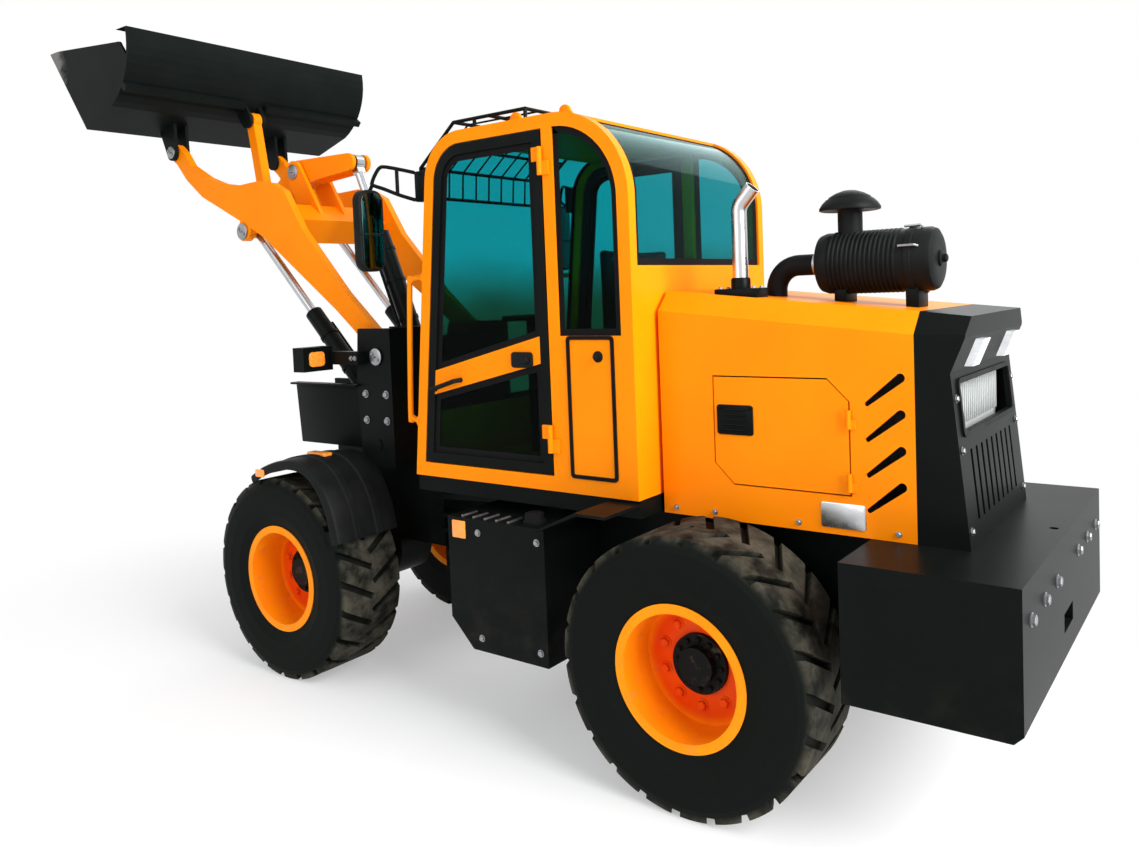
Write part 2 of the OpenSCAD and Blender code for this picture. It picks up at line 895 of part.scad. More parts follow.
module grille_housing() {
    vent_step = 2 * vent_y / (vents - 1);
    color(black) difference() {
        grille_solid(0, 0);
        grille_solid(hood_t, over);
        block([grille_rear - over, -window_y, frame_top + window_z[0]],
              [grille_rear + grille_len / 2, window_y, frame_top + window_z[1]]);
        for (i = [0 : vents - 1]) block([grille_rear - over, -vent_y + i * vent_step - vent_w / 2, frame_top + vent_z[0]],
            [grille_rear + grille_len / 2, -vent_y + i * vent_step + vent_w / 2, frame_top + vent_z[1]]);
    }
}

// Radiator on the counterweight, just ahead of the grille window
radiator_gap = 35;
radiator_y = hood_w / 2 - hood_t - radiator_gap;
radiator_t = 45;
radiator_back = 30;
radiator_h = 620;

module radiator() {
    x = hood_rear - radiator_back;
    color(steel) block([x - radiator_t, -radiator_y, frame_top], [x, radiator_y, frame_top + radiator_h]);
}

// Rear lamps on the slanted face under the visor
lamp_side = 210;
lamp_y = hood_w / 2 - lamp_side;
lamp_w = 90;
lamp_t = 30;
lamp_shares = [0.1, 0.9];

module rear_lamps() {
    d = grille_notch - grille_lip;
    a = grille_lip + d * lamp_shares[0];
    b = grille_lip + d * lamp_shares[1];
    color(steel) both_sides() side_plate(lamp_y - lamp_w / 2, lamp_y + lamp_w / 2)
        polygon([a, b, b - [lamp_t, 0], a - [lamp_t, 0]]);
}

// Engine: one plain block on the frame rails
engine_front_share = 0.144;
engine_rear_share = 0.823;
engine_front = hood_len * engine_front_share;
engine_rear = hood_len * engine_rear_share;
engine_in = 20;
engine_y = frame_w / 2 - engine_in;
engine_h = 640;

module engine() {
    color([0.35, 0.37, 0.38]) block([hood_front - engine_rear, -engine_y, frame_top],
        [hood_front - engine_front, engine_y, frame_top + engine_h]);
}

// A foot that stands on the sloped hood top
foot_gap = 0.2;

module hood_foot(x0, x1, y0, y1, top) {
    side_plate(y0, y1)
        polygon([[x0, hood_top(x0) + foot_gap], [x1, hood_top(x1) + foot_gap], [x1, top], [x0, top]]);
}

// Exhaust stack with a slant-cut end, on a base that stands on the hood
stack_share = 0.292;
stack_x = hood_front - hood_len * stack_share;
stack_side = 160;
stack_y = hood_w / 2 - stack_side;
stack_r = 32;
stack_base = [190, 110, 30];
stack_up = 400;
stack_top = hood_front_top + stack_up;
stack_slant = 40;

module exhaust() {
    base_z = hood_top(stack_x) + stack_base[2];
    color(steel) difference() {
        union() {
            hood_foot(stack_x - stack_base[0] / 2, stack_x + stack_base[0] / 2,
                stack_y - stack_base[1] / 2, stack_y + stack_base[1] / 2, base_z);
            translate([stack_x, stack_y, base_z]) cylinder(r = stack_r, h = stack_top - base_z);
        }
        translate([stack_x, stack_y, base_z]) cylinder(r = stack_r - skin, h = stack_top);
        translate([stack_x - stack_r, stack_y, stack_top - stack_r]) rotate([0, stack_slant, 0])
            translate([-stack_top / 4, -stack_r - over, 0]) cube([stack_top, 2 * stack_r + 2 * over, stack_r * 4]);
    }
}

// Air cleaner: can on two feet, mushroom pre-cleaner and intake elbow
can_shares = [-0.004, 0.442];
can_x = [for (share = can_shares) hood_rear + hood_len * share];
can_side = 335;
can_y = hood_w / 2 - can_side;
can_r = 122;
can_up = 190;
can_z = hood_rear_top + can_up;
can_band_r = 128;
can_band_w = 26;
can_band_shares = [0.06, 0.3, 0.56, 0.82];
neck_r = 48;
cap_r = 118;
cap_share = 0.325;
cap_x = hood_rear + hood_len * cap_share;
cap_up = [200, 288];
cap_rim = 30;
cap_top_r = 66;
cap_z = [for (up = cap_up) can_z + up];
elbow_r = 40;
elbow_share = 0.632;
elbow_x = hood_rear + hood_len * elbow_share;
can_foot_shares = [0.057, 0.325];
can_feet = [for (share = can_foot_shares) hood_rear + hood_len * share];
foot_w = 50;

module air_cleaner() {
    color(black) {
        translate([can_x[0], can_y, can_z]) rotate([0, 90, 0]) cylinder(r = can_r, h = can_x[1] - can_x[0]);
        translate([cap_x, can_y, can_z]) cylinder(r = neck_r, h = cap_z[0] - can_z);
        for (share = can_band_shares) translate([can_x[0] + share * (can_x[1] - can_x[0]), can_y, can_z])
            rotate([0, 90, 0]) cylinder(r = can_band_r, h = can_band_w);
        translate([cap_x, can_y, cap_z[0]]) {
            cylinder(r = cap_r, h = cap_rim);
            translate([0, 0, cap_rim]) cylinder(r1 = cap_r, r2 = cap_top_r, h = cap_z[1] - cap_z[0] - cap_rim);
        }
        tube([can_x[1] - over, can_y, can_z], [elbow_x, can_y, can_z], elbow_r);
        translate([elbow_x, can_y, can_z]) sphere(r = elbow_r);
        tube([elbow_x, can_y, hood_top(elbow_x) + elbow_r * hood_slope], [elbow_x, can_y, can_z], elbow_r);
        for (x = can_feet) hood_foot(x, x + foot_w, can_y - can_r / 2, can_y + can_r / 2, can_z - can_r / 2);
    }
}

// Front chassis with tower, nose plates and articulation clevis
lift_y = boom_y - arm_t / 2 - gap - lift_d / 2;
chassis_low = 660;
chassis_y = lift_y - lift_d / 2 - gap;
chassis_rear = 560;
clevis_t = 30;
clevis_gap = 4;
arm_slot = 42.5;
tower_out = boom_y + arm_t / 2 + arm_slot;
cheek_low = 1110;
nose_cross = [760, 1260];
tower_cross = [250, 60];
lift_pin_r = 30;
tilt_pin_r = 32;
tilt_lug_in = 40;
tilt_lug_r = 58;

module chassis_outline() {
    polygon([
        [chassis_rear, chassis_low], [nose_x, chassis_low], [nose_x, nose_top],
        [tower_rear + tower_len + (tower_top - nose_top) / 4, nose_top],
        [tower_rear + tower_len, tower_top], [tower_rear, tower_top],
        [tower_rear, frame_top], [chassis_rear, tongue_high]
    ]);
}

module cheek_outline() {
    polygon([
        [tower_rear, cheek_low], [tower_rear + tower_len, cheek_low],
        [tower_rear + tower_len + tower_t, nose_top], [tower_rear + tower_len, tower_top],
        [tower_rear, tower_top]
    ]);
}

module clevis(z) {
    for (low = [z - clevis_gap - clevis_t, z + tongue_t + clevis_gap]) translate([0, 0, low]) {
        cylinder(r = hitch_r, h = clevis_t);
        linear_extrude(height = clevis_t) polygon([
            [0, -hitch_r], [0, hitch_r], [chassis_rear, chassis_y], [chassis_rear, -chassis_y]
        ]);
    }
    translate([0, 0, z - clevis_gap - clevis_t])
        cylinder(r = hitch_pin_r, h = tongue_t + 2 * clevis_gap + 2 * clevis_t);
}

module tilt_lug() {
    root = tower_rear + tower_t;
    translate(tilt_g) circle(r = tilt_lug_r);
    polygon([
        [root, tilt_g[1] + tilt_lug_r], [tilt_g[0], tilt_g[1] + tilt_lug_r],
        [tilt_g[0], tilt_g[1] - tilt_lug_r], [root, boom_z - tower_cross[0]]
    ]);
}

// Chassis side plates with their cross plates and the tilt cylinder's lugs
module front_frame() {
    color(black) {
        block([nose_x - tower_t, -chassis_y, nose_cross[0]], [nose_x, chassis_y, nose_cross[1]]);
        block([tower_rear, -chassis_y, boom_z - tower_cross[0]],
              [tower_rear + tower_t, chassis_y, tower_top - tower_cross[1]]);
        cross_bar(tilt_g, tilt_pin_r, -tilt_lug_in - tower_t, tilt_lug_in + tower_t);
        both_sides() {
            side_plate(chassis_y - tower_t, chassis_y) chassis_outline();
            side_plate(tilt_lug_in, tilt_lug_in + tower_t) tilt_lug();
        }
    }
}

// Articulation clevises and steering forks on a plate between the chassis plates
module front_hitch() {
    low = tongue_low - clevis_gap - clevis_t;
    high = tongue_high + tongue_t + clevis_gap + clevis_t;
    inner = chassis_y - tower_t;
    color(black) {
        clevis(tongue_low);
        clevis(tongue_high);
        block([chassis_rear, -inner, low], [chassis_rear + tower_t, inner, high]);
        both_sides() fork(steer_eye, chassis_rear);
    }
}

// Outer tower plates that carry the arm and lift cylinder pins
module tower_cheeks() {
    color(black) both_sides() {
        side_plate(tower_out, tower_out + tower_t) cheek_outline();
        block([tower_rear, chassis_y, cheek_low], [tower_rear + tower_t, tower_out, tower_top]);
        cross_bar(boom_p, boom_pin_r, chassis_y, tower_out + tower_t + gap);
        cross_bar(lift_a, lift_pin_r, chassis_y, tower_out + tower_t + gap);
    }
}

// Front fenders: bent plate over the tyre, carried on the tower cheeks
fender_back = [-545, -545, -425, 35, 195];
fender_up = [262, 522, 662, 662, 600];

module front_fenders() {
    n = len(fender_back);
    outer = [for (i = [0 : n - 1]) [axle_x + fender_back[i], axle_z + fender_up[i]]];
    inner = [for (i = [n - 1 : -1 : 0]) outer[i] + (i < 2 ? [fender_t, 0] : [0, -fender_t])];
    color(black) both_sides() side_plate(tower_out + tower_t, fender_y) polygon(concat(outer, inner));
}

// Head lamps on flat arms that lap the tower cheeks
head_lamp = [90, 190, 130];
lamp_y_in = 35;
lamp_under = 220;
lamp_reach = 175;
lamp_lap = 60;
lamp_arm_t = 60;
lamp_arm_in = 30;

module headlamps() {
    tip = tower_rear + tower_len;
    z = tower_top - lamp_under;
    y = tower_out + tower_t;
    color(black) both_sides() {
        block([tip - lamp_lap, y, z + lamp_arm_in],
              [tip + lamp_reach + head_lamp[0] / 2, y + lamp_arm_t, z + head_lamp[2] - lamp_arm_in]);
        translate([tip + lamp_reach, y + lamp_y_in, z]) cube(head_lamp);
    }
}

// Loader arms: two outlined plates, box crossmember, rocker brackets and lift cylinder bosses
arm_shares = [
    [0.0, 0.032], [0.068, 0.034], [0.194, 0.049], [0.407, 0.096], [0.518, 0.144], [0.57, 0.138],
    [0.625, 0.113], [0.690, 0.066], [0.760, 0.034], [0.828, 0.016], [0.914, 0.006], [0.965, 0.021],
    [1.0, 0.0235], [1.0, -0.0235], [0.976, -0.024], [0.915, -0.039], [0.825, -0.043],
    [0.722, -0.026], [0.634, -0.012], [0.538, 0.001], [0.204, -0.005], [0.123, -0.011],
    [0.0, -0.030]
];
arm_end_r = 75;
arm_tip_r = 55;
beam_share = [0.515, 0.055];
beam_half = [95, 80];
bracket_t = 25;
bracket_in = 80;
bracket_r = 70;
rocker_pin_r = 35;
bucket_pin_r = 30;
lift_lug_r = 58;
lift_lug_share = 0.05;
lift_boss_r = 40;

module arm_outline() {
    polygon([for (s = arm_shares) on_arm(s)]);
    translate(boom_p) circle(r = arm_end_r);
    translate(bucket_q) circle(r = arm_tip_r);
}

module boom() {
    half = arm_t / 2;
    color(yellow) {
        both_sides() {
            side_plate(boom_y - half, boom_y + half) difference() {
                arm_outline();
                translate(boom_p) circle(r = boom_pin_r + pin_gap);
                translate(bucket_q) circle(r = bucket_pin_r + pin_gap);
            }
            side_plate(boom_y - half, boom_y + half)
                strap(lift_b, on_arm(lift_share + [0, lift_lug_share]), lift_lug_r, lift_lug_r);
            cross_bar(lift_b, lift_boss_r, lift_y + lift_rod_d / 2 + gap, boom_y + half + gap);
            side_plate(bracket_in, bracket_in + bracket_t)
                strap(rocker_r, on_arm(beam_share), bracket_r, beam_half[1]);
        }
        side_plate(-boom_y + half, boom_y - half) translate(on_arm(beam_share)) rotate(boom_rest)
            square(2 * beam_half, center = true);
        cross_bar(rocker_r, rocker_pin_r, -bracket_in - bracket_t, bracket_in + bracket_t);
    }
}

// Bucket: floor, curved back, side plates, cutting edge, back rib and hinge plates
bucket_c = [270, 400];
back_start = 193;
back_end = 118;
back_steps = 10;
side_top = [81, 635];
edge_len = 130;
edge_t = 30;
hinge_plate_t = 20;
hinge_gap = 7;
hinge_plate_r = 52;
hinge_root = [-45, 130];
hinge_root_r = 85;
link_plate_in = 40;
link_root = [-95, 430];
rib = [55, 40];
rib_angle = 168;

function back_point(r, a) = bucket_c + r * [cos(a), sin(a)];

module bucket_inside(inset) {
    polygon(concat(
        [[bucket_floor + inset, inset], [inset, inset]],
        [for (i = [0 : back_steps]) back_point(bucket_r - inset, back_start + (back_end - back_start) * i / back_steps)]
    ));
}

module place_bucket() {
    translate([bucket_heel[0], 0, bucket_heel[1]]) rotate([0, -bucket_rest, 0]) children();
}

// Outline of a plate on the bucket's back, cut off where the shell begins
module back_plate(pin, root, ra, rb) {
    difference() {
        strap(pin, root, ra, rb);
        bucket_inside(bucket_t / 2);
    }
}

module bucket() {
    half = bucket_w / 2;
    hinge_in = boom_y - arm_t / 2 - hinge_gap - hinge_plate_t;
    hinge_out = boom_y + arm_t / 2 + hinge_gap;
    color(black) place_bucket() {
        side_plate(-half, half) difference() {
            bucket_inside(0);
            bucket_inside(bucket_t);
        }
        side_plate(-half, half) polygon([
            [bucket_floor, 0], [bucket_floor - edge_len, 0], [bucket_floor - edge_len, edge_t],
            [bucket_floor - edge_t, edge_t]
        ]);
        both_sides() {
            side_plate(half - bucket_t, half) intersection() {
                bucket_inside(0);
                polygon([
                    [-bucket_floor, 0], [bucket_floor, 0], [bucket_floor, bucket_t], side_top,
                    [-bucket_floor, side_top[1]]
                ]);
            }
            for (y = [hinge_in, hinge_out]) side_plate(y, y + hinge_plate_t)
                back_plate(bucket_pin, hinge_root, hinge_plate_r, hinge_root_r);
            cross_bar(bucket_pin, bucket_pin_r, hinge_in, hinge_out + hinge_plate_t);
            side_plate(link_plate_in, link_plate_in + hinge_plate_t)
                back_plate(bucket_link_pin, link_root, hinge_plate_r, hinge_plate_r);
            side_plate(link_plate_in + hinge_plate_t + over, half)
                translate(back_point(bucket_r - bucket_t / 2, rib_angle)) rotate(rib_angle)
                translate([0, -rib[1] / 2]) square(rib);
        }
        cross_bar(bucket_link_pin, bucket_pin_r, -link_plate_in - hinge_plate_t, link_plate_in + hinge_plate_t);
    }
}

// Rocker: two bent plates on a pivot tube
rocker_in = 45;
rocker_t = 25;
rocker_boss_r = 75;
rocker_end_r = 52;

module rocker() {
    color(yellow) {
        both_sides() side_plate(rocker_in, rocker_in + rocker_t) difference() {
            union() {
                strap(rocker_r, rocker_s, rocker_boss_r, rocker_end_r);
                strap(rocker_r, rocker_f, rocker_boss_r, rocker_end_r);
            }
            translate(rocker_r) circle(r = rocker_pin_r + pin_gap);
        }
        side_plate(-rocker_in, rocker_in) translate(rocker_r) difference() {
            circle(r = rocker_boss_r);
            circle(r = rocker_pin_r + pin_gap);
        }
    }
}

// Link between rocker and bucket, bored for the bucket's link pin
link_half = 30;
link_eye_r = 52;
link_bar_r = 38;

module link() {
    color(yellow) side_plate(-link_half, link_half) difference() {
        union() {
            strap(rocker_f, link_t, link_bar_r, link_bar_r);
            translate(rocker_f) circle(r = link_eye_r);
            translate(link_t) circle(r = link_eye_r);
        }
        translate(link_t) circle(r = bucket_pin_r + pin_gap);
    }
}

// Cylinders are drawn along +X from their base pin, the pin along Y
module barrel(d, length, bore_d, eye_r, eye_w, pin_r) {
    difference() {
        union() {
            rotate([0, 90, 0]) cylinder(r = d / 2, h = length);
            translate([0, eye_w / 2, 0]) rotate([90, 0, 0]) cylinder(r = eye_r, h = eye_w);
        }
        translate([0, d, 0]) rotate([90, 0, 0]) cylinder(r = pin_r + pin_gap, h = 2 * d);
        translate([eye_r + gap, 0, 0]) rotate([0, 90, 0]) cylinder(r = bore_d / 2 + pin_gap, h = length);
    }
}

module rod(d, length, reach, eye_r, eye_w, shank) {
    translate([reach - length, 0, 0]) rotate([0, 90, 0]) cylinder(r = d / 2, h = length - shank);
    translate([reach - shank - gap, -eye_w / 2, -eye_r / 2]) cube([shank + gap, eye_w, eye_r]);
    translate([reach, eye_w / 2, 0]) rotate([90, 0, 0]) cylinder(r = eye_r, h = eye_w);
}

// Places a cylinder in a side plane, from its base pin towards its rod pin
module along(a, b, y) {
    d = b - a;
    translate([a[0], y, a[1]]) rotate([0, -atan2(d[1], d[0]), 0]) children();
}

lift_barrel_len = 1000;
lift_rod_len = 1010;
lift_eye_r = 40;
lift_eye_w = 32;
lift_base_r = 56;
lift_shank = 80;

module lift_barrel(side) {
    color(black) along(lift_a, lift_b, side * lift_y)
        barrel(lift_d, lift_barrel_len, lift_rod_d, lift_base_r, lift_d, lift_pin_r);
}

module lift_rod(side) {
    color(steel) along(lift_a, lift_b, side * lift_y)
        rod(lift_rod_d, lift_rod_len, norm(lift_b - lift_a), lift_eye_r, lift_eye_w, lift_shank);
}

tilt_barrel_len = 760;
tilt_rod_len = 640;
tilt_eye_r = 48;
tilt_eye_w = 56;
tilt_base_w = 68;
tilt_shank = 70;

module tilt_barrel() {
    color(black) along(tilt_g, rocker_s, 0) {
        difference() {
            union() {
                translate([tilt_lug_r + gap, 0, 0]) rotate([0, 90, 0])
                    cylinder(r = tilt_d / 2, h = tilt_barrel_len - tilt_lug_r - gap);
                translate([0, -tilt_base_w / 2, -tilt_eye_r]) cube([tilt_lug_r + gap, tilt_base_w, 2 * tilt_eye_r]);
                translate([0, tilt_base_w / 2, 0]) rotate([90, 0, 0]) cylinder(r = tilt_eye_r, h = tilt_base_w);
            }
            translate([0, tilt_d, 0]) rotate([90, 0, 0]) cylinder(r = tilt_pin_r + pin_gap, h = 2 * tilt_d);
            translate([tilt_lug_r + 2 * gap, 0, 0]) rotate([0, 90, 0])
                cylinder(r = tilt_rod_d / 2 + pin_gap, h = tilt_barrel_len);
        }
    }
}

module tilt_rod() {
    color(steel) along(tilt_g, rocker_s, 0)
        rod(tilt_rod_d, tilt_rod_len, norm(rocker_s - tilt_g), tilt_eye_r, tilt_eye_w, tilt_shank);
}

steer_barrel_len = 350;
steer_rod_len = 350;
steer_eye_r = 34;
steer_shank = 50;

// Steering cylinders lie flat, their pins upright
module steering(side) {
    d = steer_eye - steer_base;
    one_side(side) translate([steer_base[0], steer_base[1], steer_z]) rotate(atan2(d[1], d[0])) rotate([90, 0, 0]) children();
}

module steer_barrel(side) {
    color(black) steering(side) difference() {
        union() {
            translate([fork_r + gap, 0, 0]) rotate([0, 90, 0])
                cylinder(r = steer_d / 2, h = steer_barrel_len - fork_r - gap);
            translate([0, -steer_eye_w / 2, -steer_eye_r]) cube([fork_r + gap, steer_eye_w, 2 * steer_eye_r]);
            translate([0, steer_eye_w / 2, 0]) rotate([90, 0, 0]) cylinder(r = steer_eye_r, h = steer_eye_w);
        }
        translate([0, steer_d, 0]) rotate([90, 0, 0]) cylinder(r = steer_pin_r + pin_gap, h = 2 * steer_d);
        translate([fork_r + 2 * gap, 0, 0]) rotate([0, 90, 0])
            cylinder(r = steer_rod_d / 2 + pin_gap, h = steer_barrel_len);
    }
}

module steer_rod(side) {
    color(steel) steering(side)
        rod(steer_rod_d, steer_rod_len, norm(steer_eye - steer_base), steer_eye_r, steer_eye_w, steer_shank);
}

module tyre_front_left() { at_wheel(1, 1) tyre(); }
module rim_front_left() { at_wheel(1, 1) rim(); }
module tyre_front_right() { at_wheel(1, -1) tyre(); }
module rim_front_right() { at_wheel(1, -1) rim(); }
module tyre_rear_left() { at_wheel(-1, 1) tyre(); }
module rim_rear_left() { at_wheel(-1, 1) rim(); }
module tyre_rear_right() { at_wheel(-1, -1) tyre(); }
module rim_rear_right() { at_wheel(-1, -1) rim(); }
module door_left() { door(1); }
module door_right() { door(-1); }
module door_bar_left() { door_bar(1); }
module door_bar_right() { door_bar(-1); }
module door_glass_left() { door_glass(1); }
module door_glass_right() { door_glass(-1); }
module hood_door_left() { hood_door(1); }
module hood_door_right() { hood_door(-1); }
module lift_barrel_left() { lift_barrel(1); }
module lift_barrel_right() { lift_barrel(-1); }
module lift_rod_left() { lift_rod(1); }
module lift_rod_right() { lift_rod(-1); }
module steer_barrel_left() { steer_barrel(1); }
module steer_barrel_right() { steer_barrel(-1); }
module steer_rod_left() { steer_rod(1); }
module steer_rod_right() { steer_rod(-1); }

module place() {
    translate([-centre_x, 0, 0]) children();
}

place() rear_frame();
place() rear_axle();
place() counterweight();
place() fuel_tank();
place() hydraulic_tank();
place() rear_fenders();
place() cab_frame();
place() cab_shell();
place() cab_glass();
place() roof_guard();
place() seat();
place() steering_column();
place() console();
place() mirrors();
place() grab_rails();
place() hood();
place() grille_housing();
place() radiator();
place() rear_lamps();
place() engine();
place() exhaust();
place() air_cleaner();
place() door_left();
place() door_bar_left();
place() door_glass_left();
place() door_right();
place() door_bar_right();
place() door_glass_right();
place() hood_door_left();
place() hood_door_right();
place() front_frame();
place() front_hitch();
place() tower_cheeks();
place() front_axle();
place() front_fenders();
place() headlamps();
place() tyre_front_left();
place() rim_front_left();
place() tyre_front_right();
place() rim_front_right();
place() tyre_rear_left();
place() rim_rear_left();
place() tyre_rear_right();
place() rim_rear_right();
place() boom();
place() bucket();
place() rocker();
place() link();
place() tilt_barrel();
place() tilt_rod();
place() lift_barrel_left();
place() lift_rod_left();
place() lift_barrel_right();
place() lift_rod_right();
place() steer_barrel_left();
place() steer_rod_left();
place() steer_barrel_right();
place() steer_rod_right();
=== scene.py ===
"""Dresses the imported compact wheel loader: finishes, small fittings, studio and the photograph's camera."""

import json
import logging
import math
from dataclasses import dataclass
from enum import Enum
from typing import Iterable, Optional, Protocol, Sequence, Union

import bmesh
import bpy
from mathutils import Matrix, Vector

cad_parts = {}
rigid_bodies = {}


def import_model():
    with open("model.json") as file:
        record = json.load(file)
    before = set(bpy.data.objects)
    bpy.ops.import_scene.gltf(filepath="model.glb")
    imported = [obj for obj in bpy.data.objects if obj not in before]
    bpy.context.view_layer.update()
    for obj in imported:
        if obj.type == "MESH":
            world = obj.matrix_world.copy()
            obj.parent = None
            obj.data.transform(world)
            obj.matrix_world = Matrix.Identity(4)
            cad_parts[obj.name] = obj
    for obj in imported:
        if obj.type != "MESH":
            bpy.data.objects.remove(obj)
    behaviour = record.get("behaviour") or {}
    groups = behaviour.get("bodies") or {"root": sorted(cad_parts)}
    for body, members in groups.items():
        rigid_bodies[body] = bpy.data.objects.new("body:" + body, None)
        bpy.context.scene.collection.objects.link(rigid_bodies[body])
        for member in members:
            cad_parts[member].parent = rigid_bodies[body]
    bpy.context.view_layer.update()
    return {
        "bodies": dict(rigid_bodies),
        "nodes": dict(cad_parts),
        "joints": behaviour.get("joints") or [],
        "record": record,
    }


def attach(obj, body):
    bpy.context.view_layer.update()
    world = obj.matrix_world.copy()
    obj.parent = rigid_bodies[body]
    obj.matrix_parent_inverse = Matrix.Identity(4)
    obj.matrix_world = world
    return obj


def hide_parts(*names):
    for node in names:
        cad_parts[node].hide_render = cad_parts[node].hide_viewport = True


LOG = logging.getLogger("loader")

Number = Union[int, float]
Point = tuple[float, float, float]
Pair = tuple[float, float]
Line = tuple[Pair, ...]
Colour = tuple[float, float, float]
Loop = list[bmesh.types.BMVert]
Frame = dict[str, dict[str, bpy.types.Object]]

# Row frame: X forward, Y left, Z up, in metres; the machine's articulation axis stands at PIVOT_X.
PIVOT_X = -0.44992
AXLE = 1.225
AXLE_Z = 0.5375
TREAD_HALF = 0.645
CAB_Y = 0.615
ROOF_Z = 2.765
HOOD_Y = 0.45
EDGE = 0.003
FINE_EDGE = 0.0015
LIFT_Y = 0.3015
PANES = {"cab_glass": "rear", "door_glass_left": "door_left", "door_glass_right": "door_right"}


class Side(Enum):
    """The machine's left and right."""

    LEFT = 1
    RIGHT = -1


class Socket:
    """A shader value that is combined by Python operators, each adding a Math node."""

    def __init__(self, graph: "Graph", output: bpy.types.NodeSocket) -> None:
        """Wraps one output socket of a graph."""
        self.graph = graph
        self.output = output

    def _math(self, operation: str, a: "Value", b: "Value" = 0.0) -> "Socket":
        """Adds a Math node and returns its value."""
        return self.graph.node("ShaderNodeMath", {"operation": operation}, {0: a, 1: b})[0]

    def __add__(self, other: "Value") -> "Socket":
        """Sum."""
        return self._math("ADD", self, other)

    def __radd__(self, other: "Value") -> "Socket":
        """Sum with a number on the left."""
        return self._math("ADD", other, self)

    def __sub__(self, other: "Value") -> "Socket":
        """Difference."""
        return self._math("SUBTRACT", self, other)

    def __rsub__(self, other: "Value") -> "Socket":
        """Difference with a number on the left."""
        return self._math("SUBTRACT", other, self)

    def __mul__(self, other: "Value") -> "Socket":
        """Product."""
        return self._math("MULTIPLY", self, other)

    def __rmul__(self, other: "Value") -> "Socket":
        """Product with a number on the left."""
        return self._math("MULTIPLY", other, self)

    def __abs__(self) -> "Socket":
        """Absolute value."""
        return self._math("ABSOLUTE", self)

    def above(self, limit: "Value") -> "Socket":
        """1 where the value is above the limit, else 0."""
        return self._math("GREATER_THAN", self, limit)

    def below(self, limit: "Value") -> "Socket":
        """1 where the value is below the limit, else 0."""
        return self._math("LESS_THAN", self, limit)

    def largest(self, other: "Value") -> "Socket":
        """The larger of two values."""
        return self._math("MAXIMUM", self, other)

    def sine(self) -> "Socket":
        """Sine of the value."""
        return self._math("SINE", self)

    def root(self) -> "Socket":
        """Square root of the value."""
        return self._math("SQRT", self)

    def ramp(self, low: float, high: float) -> "Socket":
        """Rises smoothly from 0 at low to 1 at high."""
        inputs = {"Value": self, "From Min": low, "From Max": high}
        return self.graph.node("ShaderNodeMapRange", {"interpolation_type": "SMOOTHSTEP"}, inputs)["Result"]


Value = Union[Socket, Number]


class Outputs:
    """The outputs of a new node, by index or name, each as a Socket."""

    def __init__(self, graph: "Graph", node: bpy.types.Node) -> None:
        """Keeps the node whose outputs are asked for."""
        self.graph = graph
        self.made = node

    def __getitem__(self, key: Union[int, str]) -> Socket:
        """The output of that index or name."""
        return Socket(self.graph, self.made.outputs[key])


